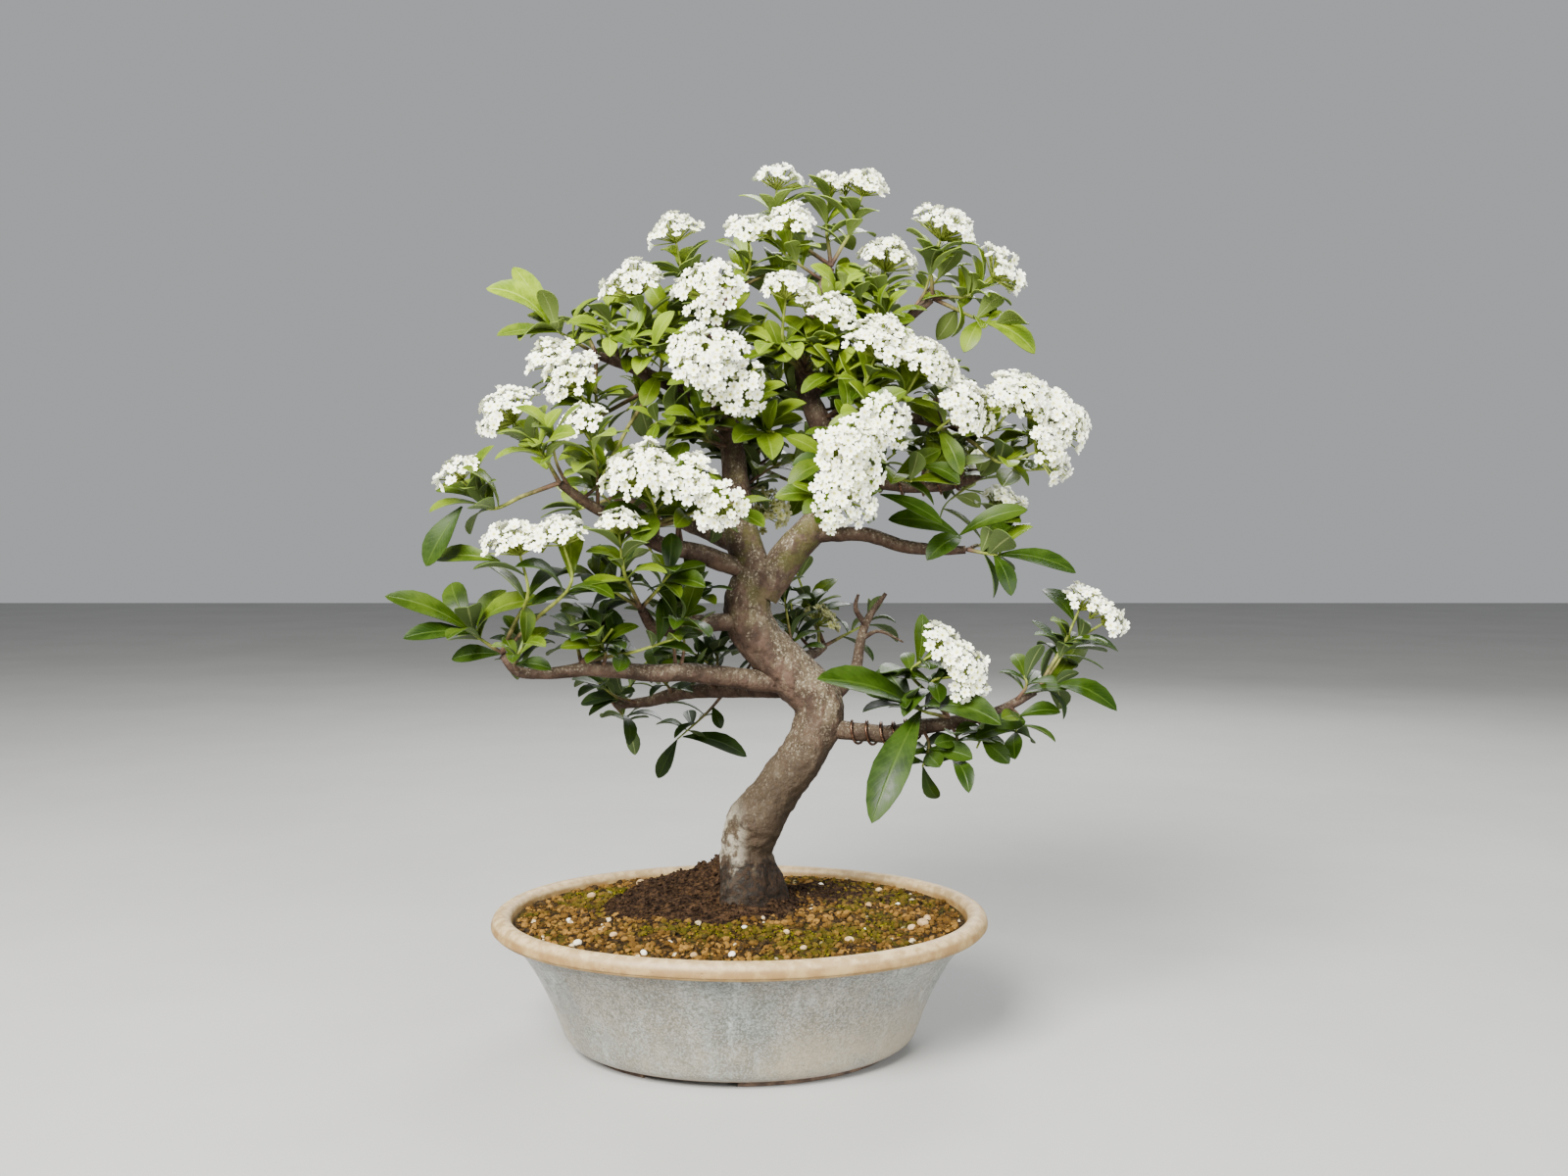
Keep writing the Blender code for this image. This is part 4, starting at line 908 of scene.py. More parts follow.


# %% [markdown]
# The bark's colour holds painted light: silvery grey and tan on the sides that face up, and
# red-brown beneath as painted shade, with a patch of painted shade on the right of the low trunk.
# Pale speckles show only on the painted lit side. There is green algae near the fork and a brown
# stain at the soil. The facing comes as an attribute, and the rest is noise and height.

# %% Bark finish
def bark_finish():
    f = Finish("speckled_bark", Roughness=0.8, Specular_IOR_Level=0.14)
    x, _, z = f.axes()
    coarse, fine = f.patches(70.0, 0.38, 0.62), f.patches(330.0, 0.4, 0.62)
    long = f.patches(1.0, 0.42, 0.6, f.stretched(170, 170, 60))
    under, thick = f.attribute("underside"), f.attribute("thickness")
    brown = f.mix(coarse, (0.030, 0.018, 0.013), (0.085, 0.052, 0.036))
    lit_silver = f.mix(coarse, (0.045, 0.032, 0.019), (0.135, 0.108, 0.068))
    lit_silver = f.tint(lit_silver, long, 0.5, (0.085, 0.060, 0.038))
    # lit is painted light: 1 where the bark faces up and 0 beneath, where the red-brown is painted shade.
    # Thin limbs get less of the silver.
    lit = f.times(f.between(f.math("ADD", under, f.between(long, 0, 1, 0, 0.5)), 0.6, -0.3),
                 f.between(thick, 2.0, 13.0, 0.5, 1.0))
    base = f.mix(lit, brown, lit_silver)
    base = f.tint(base, fine, 0.5, (0.050, 0.031, 0.021))
    stipple = f.patches(620.0, 0.52, 0.66)
    # Pale speckles, masked by lit, so they show only on the painted lit side.
    pale = f.times(f.math("MAXIMUM", f.specks(420.0, 0.34, 0.5), stipple), lit)
    base = f.tint(base, pale, 0.75, (0.36, 0.315, 0.23))
    # shaded is painted shade: a darker brown over the right side of the trunk below about 190 mm.
    shaded = f.times(f.between(x, -0.022, 0.006), f.between(z, 0.215, 0.165))
    painted_shade_brown = f.mix(fine, (0.020, 0.013, 0.008), (0.075, 0.052, 0.032))
    base = f.tint(base, shaded, 0.55, painted_shade_brown)
    low = f.between(z, 0.24, 0.16)
    base = f.tint(base, low, 0.72, (0.030, 0.021, 0.012))
    foot = f.times(f.between(z, 0.165, 0.140), f.patches(75.0, 0.46, 0.58))
    foot = f.times(foot, f.between(x, -0.012, -0.026))
    base = f.tint(base, foot, 0.6, (0.36, 0.33, 0.26))
    algae = f.times(f.patches(55.0, 0.5, 0.64), f.between(z, 0.24, 0.33))
    algae = f.times(algae, f.between(thick, 5.0, 12.0, 0.0, 0.55))
    base = f.mix(algae, base, (0.075, 0.078, 0.014))
    to_knot = f.node("ShaderNodeVectorMath", {0: f.place, 1: tuple(KNOT * MM)}, operation="DISTANCE")
    swirl = to_knot.outputs["Value"]
    lines = f.math("SINE", f.times(f.math("MULTIPLY_ADD", coarse, 0.0012, swirl), 2600.0))
    ring = f.times(f.between(lines, 0.1, 0.9), f.between(swirl, 0.0095, 0.006))
    base = f.tint(base, ring, 0.7, (0.03, 0.019, 0.013))
    earth = f.between(f.math("MULTIPLY_ADD", coarse, 0.010, z), 0.127, 0.119)
    mud = f.mix(fine, (0.004, 0.0025, 0.0015), (0.020, 0.011, 0.006))
    base = f.tint(base, earth, 0.92, mud)
    f.set("Base Color", base)
    f.set("Roughness", f.between(fine, 0.0, 1.0, 0.62, 0.9))
    f.relief((coarse, 0.9, 0.6), (long, 0.6, 0.6), (fine, 0.4, 0.6))
    return f.material


# %% Make the wood
parts, facing_down, thickness = [], [], []
for name in LIMBS:
    path, reach, around = limb_points(name)
    made = tube(path, reach, around, bark_relief(name))
    parts.append(made)
    facing_down.append(underside(path, made[0], around))
    thickness.append(np.append(np.repeat(reach, around), reach[[0, -1]]))
points, faces = joined(parts)
bark = bark_finish()
wood = make_piece("bark_wood", points, faces, bark, ["wood"],
                  {"underside": np.concatenate(facing_down), "thickness": np.concatenate(thickness)},
                  sharp=math.radians(70))
print("points of the wood:", len(points))

# %% [markdown]
# Two branches still carry the brown wire that set their shape. A wire wound on a branch is a
# helix about the branch's own path. The drain screens keep the CAD model's shape, a flat mesh
# with square holes, and only get their plastic.

# %% Training wire and screens
def wire_finish():
    f = Finish("brown_anodised_wire", Metallic=1.0, Roughness=0.4)
    worn = f.patches(380.0, 0.5, 0.66)
    f.set("Base Color", f.mix(worn, (0.075, 0.038, 0.024), (0.24, 0.14, 0.085)))
    f.set("Roughness", f.between(f.patches(700.0, 0.4, 0.6), 0.0, 1.0, 0.3, 0.55))
    return f.material


def wound(limb, start, end, turns, gauge):
    """A helix round a limb: centre + r (side cos a + over sin a), a growing with the path."""
    path, reach, _ = limb_points(limb)
    count = turns * 28
    at = np.linspace(start, end, count) * (len(path) - 1)
    centre = sampled(path, at)
    lift = np.interp(at, np.arange(len(path)), reach) * 1.02 + gauge + 0.5
    side, over = path_frames(centre)
    angle = np.linspace(0, turns * math.tau, count)[:, None]
    return centre + lift[:, None] * (side * np.cos(angle) + over * np.sin(angle))


copper = wire_finish()
for name, (limb, start, end, turns) in WIRES.items():
    helix = wound(limb, start, end, turns, WIRE_RADIUS)
    coil = tube(helix, np.full(len(helix), WIRE_RADIUS), 10)
    piece = make_piece("wound_" + name[9:], *coil, copper, [name])


plastic = mottled("black_plastic_mesh", (240.0, 0.45, 0.65), (0.012, 0.012, 0.013), (0.06, 0.045, 0.03),
                  (0.2, 0.4), Roughness=0.55)
for name in ("drain_screen_left", "drain_screen_right"):
    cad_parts[name].material_slots[0].material = plastic
print("wires:", len(WIRES), "screens: 2")

# %% [markdown]
# Every leafy shoot starts on a limb and ends under a flower head or at a tip. The tables give
# the limb, the share of its length and the tips, and the heads come with how far each one
# tilts out of the crown. The shoot bends: it leaves along the line to its neck and then runs
# straight to the head, as the CAD solids do.

# %% Sprays and flower heads
SPRAYS = {
    "spray_crown": ("right_leader", 1.0, 36, [(16, 42, 526)]),
    "spray_crown_left": ("left_leader", 1.0, 36, [(-58, 30, 500), (-16, 50, 508)]),
    "spray_shoulder_right": ("right_top", 1.0, 38, [(150, 10, 462)]),
    "spray_inner_right": ("right_top", 0.5, 36, [(58, 50, 478), (88, 68, 444)]),
    "spray_shoulder_left": ("left_leader", 0.76, 38, [(-96, 20, 470), (-66, 58, 462)]),
    "spray_centre": ("right_leader", 0.7, 38, [(48, -48, 425), (-2, -44, 448)]),
    "spray_front": ("left_leader", 0.55, 38, [(-70, -40, 398), (2, -46, 392)]),
    "spray_arch": ("right_leader", 0.55, 38, [(88, -34, 432)]),
    "spray_left_tip": ("left_crown", 1.0, 38, [(-142, -18, 462), (-124, 8, 470)]),
    "spray_left_mass": ("left_crown", 0.55, 38, [(-96, 34, 412), (-118, 30, 452)]),
    "spray_upper_left": ("upper_left", 1.0, 40, [(-134, -96, 382)]),
    "spray_front_left": ("upper_left", 0.5, 38, []),
    "spray_low_left_tip": ("low_left", 1.0, 50, [(-183, -56, 272)]),
    "spray_low_left_mid": ("low_left", 0.6, 36, [(-96, -52, 272), (-124, -22, 272), (-58, -46, 266)]),
    "spray_mid_left": ("mid_left", 1.0, 38, [(-104, -58, 302), (-60, -62, 306)]),
    "spray_heart": ("right_leader", 0.4, 40, [(86, -48, 362)]),
    "spray_right_mass": ("right_crown", 1.0, 38, []),
    "spray_upper_right": ("upper_right", 1.0, 38, [(178, 10, 372), (124, 70, 354)]),
    "spray_mid_right": ("mid_right", 1.0, 46, [(144, -30, 316)]),
    "spray_low_right": ("low_right", 0.62, 42, [(84, -48, 226)]),
    "spray_far_right": ("low_right", 1.0, 40, [(182, -10, 232)]),
    "spray_under_left": ("low_left_back", 1.0, 36, [(-128, 96, 226), (-104, 98, 196), (-90, 102, 238)]),
    "spray_left_back": ("left_back", 1.0, 38, [(-142, 96, 346), (-84, 102, 314), (-76, 100, 388)]),
    "spray_back": ("back_low", 1.0, 40, [(26, 98, 276), (70, 94, 268), (14, 84, 312)]),
    "spray_back_mid": (
        "back_mid", 1.0, 40,
        [(-50, 96, 420), (-10, 110, 404), (36, 104, 384), (-34, 104, 344), (8, 92, 446), (66, 82, 344)],
    ),
}
CLUSTERS = {
    "blossom_crown_peak": ("spray_crown", [(4, 0, 556, 16, 0.1)]),
    "blossom_crown_right": ("spray_crown", [(38, 8, 554, 12, 0.1), (60, -4, 551, 16, 0.3)]),
    "blossom_crown_left": ("spray_crown_left", [(-62, -6, 522, 18, 0.3)]),
    "blossom_crown_front": ("spray_crown_left", [(-14, -16, 520, 17, 0.3), (14, -18, 526, 15, 0.4)]),
    "blossom_shoulder_right": ("spray_shoulder_right", [(112, 2, 526, 21, 0.3)]),
    "blossom_edge_right": ("spray_shoulder_right", [(148, 0, 498, 19, 0.6)]),
    "blossom_shoulder_inner": ("spray_inner_right", [(76, 10, 508, 21, 0.2)]),
    "blossom_shoulder_left": ("spray_shoulder_left", [(-85, -30, 485, 22, 0.3)]),
    "blossom_centre_upper": ("spray_shoulder_left", [(-36, -48, 479, 24, 0.6)]),
    "blossom_centre_right": ("spray_centre", [(10, -48, 479, 17, 0.3), (36, -44, 465, 17, 0.4)]),
    "blossom_centre": ("spray_front", [(-38, -78, 434, 24, 0.65), (-20, -70, 416, 19, 0.8)]),
    "blossom_arch_right": ("spray_arch", [(66, -60, 444, 23, 0.4), (94, -56, 434, 20, 0.5)]),
    "blossom_left_step": ("spray_left_tip", [(-137, -32, 440, 16, 0.4), (-122, -46, 424, 21, 0.5)]),
    "blossom_left_mass": ("spray_left_mass", [(-160, -54, 404, 22, 0.5)]),
    "blossom_left_inner": ("spray_left_mass", [(-114, -62, 396, 17, 0.5)]),
    "blossom_left_tip": ("spray_upper_left", [(-183, -84, 366, 15, 0.5)]),
    "blossom_right_mass": (
        "spray_right_mass",
        [(118, -50, 407, 23, 0.6), (153, -44, 413, 25, 0.5), (182, -30, 402, 24, 0.6),
         (170, -44, 382, 20, 0.8)],
    ),
    "blossom_heart": (
        "spray_heart",
        [(68, -82, 396, 18, 0.9), (48, -96, 375, 24, 0.9), (42, -98, 352, 20, 0.9)],
    ),
    "blossom_front_left": (
        "spray_front_left",
        [(-76, -96, 366, 22, 0.5), (-48, -94, 362, 18, 0.6), (-28, -96, 346, 16, 0.9)],
    ),
    "blossom_low_left": ("spray_low_left_tip", [(-146, -92, 326, 21, 0.2), (-120, -94, 330, 17, 0.2)]),
    "blossom_low_left_inner": ("spray_mid_left", [(-88, -92, 336, 15, 0.2)]),
    "blossom_low_right": ("spray_low_right", [(104, -62, 262, 18, 0.6), (118, -66, 246, 18, 0.8)]),
    "blossom_far_right": ("spray_far_right", [(196, -25, 288, 15, 0.3), (213, -27, 277, 15, 0.6)]),
    "blossom_shade_right": ("spray_mid_right", [(150, 12, 352, 15, 0.3)]),
    "blossom_back_high": ("spray_inner_right", [(70, 66, 498, 20, 0.5)]),
    "blossom_back_left": ("spray_left_back", [(-118, 92, 376, 21, 0.5)]),
    "blossom_back_right": ("spray_upper_right", [(132, 76, 392, 21, 0.6)]),
}
LARGE_LEAVES = {
    "spray_low_left_tip": [(2, 0.95, (-229, -70, 293)), (2, 0.9, (-218, -72, 268)),
                           (2, 0.85, (-132, -76, 290))],
    "spray_low_right": [(2, 0.8, (28, -74, 244)), (2, 0.75, (60, -86, 160)), (2, 0.7, (136, -84, 218))],
    "spray_far_right": [(2, 0.8, (212, -50, 222)), (2, 0.75, (206, 20, 262))],
    "spray_mid_right": [(1, 0.9, (188, -42, 306)), (1, 0.85, (148, -44, 292)), (1, 0.6, (164, 14, 336))],
    "spray_left_tip": [(2, 0.95, (-176, -28, 482)), (2, 0.9, (-164, -2, 500)), (2, 0.8, (-168, -36, 452))],
    "spray_shoulder_right": [(2, 0.8, (170, 4, 446)), (0, 0.5, (118, -26, 508))],
    "spray_upper_left": [(0, 0.6, (-176, -98, 368)), (1, 0.8, (-108, -118, 386))],
}
print("sprays:", len(SPRAYS), "clusters:", len(CLUSTERS))

# %% Paths of the shoots
VIEW_CENTRE = (-10.0, 60.0)
CORE_RISE = 0.32
DOME_RISE = 0.5
STALK = 24.0
TURN = math.radians(137.5)


def facing(head):
    """The way a head faces: up, tilted outwards by its share."""
    x, y, _, _, tilt = head
    out = unit(np.array([x - VIEW_CENTRE[0], y - VIEW_CENTRE[1], 0.0]))
    return unit(np.array([0, 0, 1 - tilt]) + out * tilt)


def spray_heads(spray):
    """The heads that a spray bears."""
    return [head for bearer, heads in CLUSTERS.values() if bearer == spray for head in heads]


def shoots_of(spray):
    """The path of each shoot of a spray, from inside the limb to under its head or to its tip."""
    limb, share, _, tips = SPRAYS[spray]
    path, reach, _ = limb_points(limb)
    here = int(round(share * (len(path) - 1)))
    start = path[here]
    along = unit(path[min(here + 1, len(path) - 1)] - path[max(here - 1, 0)])
    ends = []
    for head in spray_heads(spray):
        face = facing(head)
        under = np.array(head[:3], float) - face * (head[3] * CORE_RISE + 1)
        ends.append((under - face * min(STALK, 0.45 * np.linalg.norm(under - start)), under))
    for tip in tips:
        tip = np.array(tip, float)
        ends.append((tip * 0.6 + start * 0.4, tip))
    mean = np.mean([end for _, end in ends], axis=0) - start
    side = along if share == 1.0 else unit(mean - along * (mean @ along))
    knuckle = start + side * (reach[here] * (0.2 if share == 1.0 else 0.9) + 1.0)
    return [smooth_path([knuckle, (knuckle + neck) / 2, neck, end], 24) for neck, end in ends]


SHOOTS = {spray: shoots_of(spray) for spray in SPRAYS}
HEADS = np.array([head for _, heads in CLUSTERS.values() for head in heads], float)
HEAD_FACES = np.array([facing(head) for head in HEADS])
print("shoots:", sum(len(paths) for paths in SHOOTS.values()), "heads:", len(HEADS))

# %% [markdown]
# A firethorn leaf is a narrow blade, widest past its middle, round at the tip and drawn into a
# short stalk. It folds a little along its midrib and arches over. One formula gives a whole
# array of leaves at once: the midrib is an arch over the chord from base to tip, and the margins
# stand off it by the half width, lifted by the fold. A thin shell with both faces closes it, so
# the underside can have its own colour.

# %% Leaf blades
LEAF_ROWS = np.array([0, 0.06, 0.15, 0.29, 0.45, 0.61, 0.76, 0.88, 0.96, 1.0])
LEAF_RATIO = 0.215
BLADE = 0.5


def leaf_blades(base, tip, normal, ratio, arch, fold, twist):
    """Closed leaf shells. s runs along and a across: point = base + chord s + side a w(s) + up
    (arch 4 s (1 - s) + fold |a| w(s)), where w(s) = ratio length sin(pi s^1.55)^0.68."""
    chord = tip - base
    length = np.linalg.norm(chord, axis=1)
    side = unit(np.cross(chord, normal))
    up = unit(np.cross(side, chord))
    s = LEAF_ROWS[None, :, None]
    a = np.array([-1.0, 0.0, 1.0])[None, None, :]
    span = length[:, None, None]
    outline = np.clip(np.sin(math.pi * s**1.55), 0, 1) ** 0.68 + 0.06 * (1 - s)
    width = ratio[:, None, None] * span * outline
    lift = arch[:, None, None] * span * 4 * s * (1 - s) + fold[:, None, None] * width * np.abs(a)
    lift = lift + twist[:, None, None] * width * a * s
    top = (base[:, None, None] + chord[:, None, None] * s[..., None]
           + side[:, None, None] * (width * a)[..., None] + up[:, None, None] * lift[..., None])
    under = top - up[:, None, None] * BLADE
    points = np.stack([top, under], 1)
    return points.reshape(-1, 3)


def leaf_shell():
    """Faces of one leaf: its upper grid, its lower grid turned over, and the rim between them."""
    rows, columns = len(LEAF_ROWS), 3
    upper = grid_faces(rows, columns, False)
    lower = upper[:, ::-1] + rows * columns
    left = np.arange(rows) * columns
    rim = np.concatenate([left, [left[-1] + 1], left[::-1] + 2, [1]])
    follow = np.roll(rim, -1)
    edge = np.stack([rim, follow, follow + rows * columns, rim + rows * columns], 1)
    return np.vstack([upper, lower, edge])


LEAF_FACES = leaf_shell()
LEAF_POINTS = 2 * 3 * len(LEAF_ROWS)
print("points of a leaf:", LEAF_POINTS, "faces:", len(LEAF_FACES))


def leaf_attributes(tone):
    """Along, across, tone and side (0 above, 1 below) for every point of the leaves."""
    across = np.array([-1.0, 0.0, 1.0])
    below = np.array([0.0, 1.0])[:, None, None]
    every = np.broadcast_arrays(LEAF_ROWS[:, None], across, below, tone[:, None, None, None])
    return dict(zip(("along", "across", "below", "tone"), every))


# %% [markdown]
# Leaves wind up a shoot at the golden angle, each a little off the last. Low leaves stand out
# wide and the top ones close up round the head. A leaf that would pierce a flower head is
# dropped: a head is taken as a flattened ball, and a leaf is tested at points over its length.

# %% Grow the leaves
# Leaves of a shoot that bears a head, and of one that ends in a tip.
FLOWER_LEAVES = 14
TIP_LEAVES = 9


def hits_head(base, tip):
    """True for each leaf whose chord passes through the flattened ball of a flower head."""
    share = np.linspace(0.3, 1.0, 7)[None, :, None]
    samples = base[:, None] + (tip - base)[:, None] * share
    offset = samples[:, :, None] - HEADS[None, None, :, :3]
    rise = np.einsum("nsha,ha->nsh", offset, HEAD_FACES)
    flat = np.linalg.norm(offset - rise[..., None] * HEAD_FACES, axis=-1)
    radius = HEADS[:, 3]
    inside = (flat / (radius + 3)) ** 2 + ((rise - 0.1 * radius) / (0.5 * radius + 3)) ** 2
    return (inside < 1).any(axis=(1, 2))


def whorl(path, count, length, draw, spread=(52, 96), start=0.34):
    """Base, tip and normal of leaves wound up a shoot. Their spread from the shoot's direction
    narrows towards its end."""
    share = np.sort(start + (0.985 - start) * draw.uniform(0, 1, count) ** 0.62)
    at = share * (len(path) - 1)
    base = sampled(path, at)
    axis = unit(sampled(unit(np.gradient(path, axis=0)), at))
    across = unit(np.cross(axis, (0.3, 0.9, 0.2)))
    other = np.cross(axis, across)
    angle = draw.uniform(0, math.tau) + np.arange(count) * TURN + draw.uniform(-0.4, 0.4, count)
    lean = np.radians(np.interp(share, (start, 1), spread[::-1]) + draw.uniform(-12, 12, count))
    out = across * np.cos(angle)[:, None] + other * np.sin(angle)[:, None]
    away = axis * np.cos(lean)[:, None] + out * np.sin(lean)[:, None]
    away = unit(away * (1, 1, 0.62) + (0, 0, 0.14))
    size = length * draw.uniform(0.55, 1.0, count)
    normal = unit(axis * 0.5 + np.array([0, -0.3, 1.0]) + draw.uniform(-0.3, 0.3, (count, 3)))
    return base, base + away * size[:, None], normal


def has_room(base, tip, depth, floor):
    """True for each leaf that misses the heads and ends inside the CAD model's box, within a
    depth before and behind the trunk, and above a floor."""
    low, high = np.array(cad_box[0]) / MM + 1.0, np.array(cad_box[1]) / MM - 1.0
    boxed = ((tip > low) & (tip < high)).all(axis=1)
    return ~hits_head(base, tip) & boxed & (np.abs(tip[:, 1]) < depth) & (tip[:, 2] > floor)


def leaves_of(spray):
    """The large leaves of a spray, then those that wind up each of its shoots."""
    groups = []
    for number, path in enumerate(SHOOTS[spray]):
        draw = np.random.default_rng([len(spray), number, sum(map(ord, spray))])
        in_flower = number < len(spray_heads(spray))
        length = SPRAYS[spray][2]
        count = (FLOWER_LEAVES if in_flower else TIP_LEAVES) * min(1.0, 38 / length) ** 1.5
        groups.append(whorl(path, round(count), 0.88 * length, draw))
    base, tip, normal = (np.vstack(column) for column in zip(*groups))
    keep = has_room(base, tip, depth=121, floor=100)
    base, tip, normal = base[keep], tip[keep], normal[keep]
    large = [(path_point(SHOOTS[spray][shoot], share), np.array(end, float), unit(np.array([0, -0.7, 0.75])))
             for shoot, share, end in LARGE_LEAVES.get(spray, ())]
    if large:
        base, tip, normal = (np.vstack([np.array(column), rest])
                             for column, rest in zip(zip(*large), (base, tip, normal)))
    return base, tip, normal


# %% Leaves in one piece
def leaf_tones(tip, draw):
    """Tones from 0 to 1: light for young leaves high in the crown and at the outside, dark for older
    ones low and inside. Part of this is painted light at the top and painted shade inside and low down.
    """
    out = np.hypot(tip[:, 0] / 210, tip[:, 1] / 110)
    return np.clip((tip[:, 2] - 265) / 270 + 0.34 * out - 0.26 + draw.normal(0, 0.16, len(tip)), 0, 1)


def leaf_piece(name, base, tip, normal, material, stands_for=(), age=0.0):
    """All leaves of a spray in one piece. age darkens them, from 0 for none to 1 for oldest."""
    draw = np.random.default_rng(sum(map(ord, name)))
    count = len(base)
    length = np.linalg.norm(tip - base, axis=1)
    ratio = LEAF_RATIO * draw.uniform(0.8, 1.2, count) * np.clip(32 / length, 0.5, 1) ** 0.5
    points = leaf_blades(base, tip, normal, ratio, draw.uniform(0.04, 0.2, count),
                         draw.uniform(0.12, 0.42, count), draw.uniform(-0.25, 0.25, count))
    piece = make_piece(name, points, [copies(LEAF_FACES, count, LEAF_POINTS)], material, stands_for,
                       leaf_attributes(np.clip(leaf_tones(tip, draw) - age, 0, 1)))
    return piece


# %% [markdown]
# The leaf is glossy above and dull grey-green below, with a pale midrib and faint side veins
# that run forward from it. The veins are a wave in the leaf's own two attributes, so they
# follow each blade wherever it points.

# %% Leaf and shoot finishes
def leaf_finish():
    f = Finish("glossy_leaf", Roughness=0.4, Specular_IOR_Level=0.15)
    along, across, tone, below = (f.attribute(n) for n in ("along", "across", "tone", "below"))
    from_rib = f.math("ABSOLUTE", across)
    rib = f.between(from_rib, 0.12, 0.02)
    slope = f.math("MULTIPLY_ADD", along, 13.0, f.times(from_rib, -3.0))
    veins = f.between(f.math("SINE", f.times(slope, math.tau)), 0.55, 1.0)
    blotch = f.patches(60.0, 0.35, 0.65)
    # The tone picks between a dark and a light green. This is partly the leaf's age, and partly painted shade
    # inside and low in the crown with painted light at its top.
    old_and_shaded_green = f.mix(blotch, (0.006, 0.017, 0.0005), (0.017, 0.038, 0.001))
    young = f.mix(blotch, (0.078, 0.138, 0.001), (0.185, 0.265, 0.003))
    top = f.mix(tone, old_and_shaded_green, young)
    pale = f.mix(tone, (0.040, 0.072, 0.008), (0.27, 0.34, 0.05))
    top = f.tint(top, f.between(from_rib, 0.3, 1.0), 0.1, pale)
    top = f.tint(top, veins, 0.12, pale)
    top = f.tint(top, rib, 0.5, pale)
    under = f.mix(tone, (0.050, 0.078, 0.024), (0.15, 0.21, 0.04))
    under = f.tint(under, f.math("MAXIMUM", rib, f.times(veins, 0.12)), 0.6, (0.26, 0.31, 0.11))
    f.set("Base Color", f.mix(below, top, under))
    f.set("Roughness", f.math("MULTIPLY_ADD", below, 0.25, f.between(blotch, 0, 1, 0.36, 0.5)))
    f.relief((veins, 0.03, 0.4), (rib, -0.3, 0.5), (blotch, 0.15, 0.3))
    return f.material


def shoot_finish():
    f = Finish("green_shoot", Roughness=0.6, Specular_IOR_Level=0.18)
    young = f.attribute("young")
    streak = f.patches(200.0, 0.38, 0.64)
    brown = f.mix(streak, (0.045, 0.025, 0.016), (0.115, 0.066, 0.04))
    green = f.mix(streak, (0.105, 0.135, 0.014), (0.22, 0.26, 0.04))
    f.set("Base Color", f.mix(young, brown, green))
    f.relief((streak, 0.2, 0.5))
    return f.material


# %% Make the leaves of the sprays
leaf = leaf_finish()
leaf_count = 0
for spray in SPRAYS:
    blades = leaves_of(spray)
    leaf_piece("leaves" + spray[5:], *blades, leaf, [spray])
    leaf_count += len(blades[0])


print("leaves on the sprays:", leaf_count)

# %% [markdown]
# The crown of a firethorn is dense: behind the sprays, short twigs of the upper limbs bear
# leaves too, and a few hang below the low branches. Drawn at random along their limbs, they fill
# what the tables leave open.

# %% Inner twigs and broad leaves
INNER_TWIGS = {
    "left_leader": 16, "right_leader": 18, "left_crown": 7, "right_crown": 6, "right_top": 7, "upper_left": 8,
    "left_back": 7, "upper_right": 6, "back_up": 6, "back_mid": 6, "back_low": 4, "low_left": 7,
    "low_left_back": 7, "mid_left": 5,
}
HANGING_TWIGS = {
    "low_right": [(0.5, (94, -42, 186)), (0.62, (112, -40, 190)), (0.74, (128, -38, 197)),
                  (0.88, (152, -36, 206)), (0.9, (158, -34, 242))],
    "low_left_back": [(0.3, (-68, 98, 183))],
}


def inner_shoots():
    """Short leafy twigs off the upper limbs, which fill the crown: each starts on a limb and
    leaves it sideways, turned up."""
    draw = np.random.default_rng(77)
    twigs = []
    for name, count in INNER_TWIGS.items():
        path, reach, _ = limb_points(name)
        side, over = path_frames(path)
        for share in draw.uniform(0.25, 0.97, count):
            k = int(share * (len(path) - 1))
            angle = draw.uniform(0, math.tau)
            out = side[k] * math.cos(angle) + over[k] * math.sin(angle)
            out = unit(np.array([out[0], out[1] - 0.1, abs(out[2]) + 0.3]))
            start = path[k] + out * reach[k] * 0.5
            length = draw.uniform(20, 46)
            middle = start + out * length * 0.5 + draw.uniform(-3, 3, 3)
            twigs.append(smooth_path([start, middle, start + out * length + draw.uniform(-4, 4, 3)], 12))
    for name, ends in HANGING_TWIGS.items():
        path, reach, _ = limb_points(name)
        for share, end in ends:
            start, end = path_point(path, share), np.array(end, float)
            twigs.append(smooth_path([start, (start + end) / 2 + (4, -3, 2), end], 12))
    return twigs


twigs = inner_shoots()
draw = np.random.default_rng(78)
groups = [whorl(path, 7, 30, draw, (45, 85), 0.2) for path in twigs]
base, tip, normal = (np.vstack(column) for column in zip(*groups))
keep = has_room(base, tip, depth=118, floor=120)
base, tip, normal = base[keep], tip[keep], normal[keep]
for name, part in (("left", base[:, 0] < -10), ("right", base[:, 0] >= -10)):
    leaf_piece("inner_leaves_" + name, base[part], tip[part], normal[part], leaf)
    leaf_count += int(part.sum())

# Broad old leaves at the edges of the crown. The photograph shows most of them one by one.
BROAD_LEAVES = np.array([
    ((67, -50, 354), (104, -58, 336)), ((92, -38, 371), (116, -46, 361)),
    ((113, -18, 364), (118, -24, 388)), ((118, -26, 329), (159, -36, 345)),
    ((118, -26, 329), (73, -34, 339)), ((120, -24, 328), (96, -46, 314)),
    ((-180, -82, 346), (-201, -84, 311)), ((-158, -82, 314), (-199, -72, 315)),
    ((-164, -54, 257), (-193, -56, 254)), ((-68, 98, 183), (-82, 98, 155)),
    ((-64, 98, 185), (-18, 96, 171)),
], float)
to_viewer = unit(np.tile((0.1, -0.75, 0.65), (len(BROAD_LEAVES), 1)))
leaf_piece("broad_leaves", BROAD_LEAVES[:, 0], BROAD_LEAVES[:, 1], to_viewer, leaf, age=0.3)

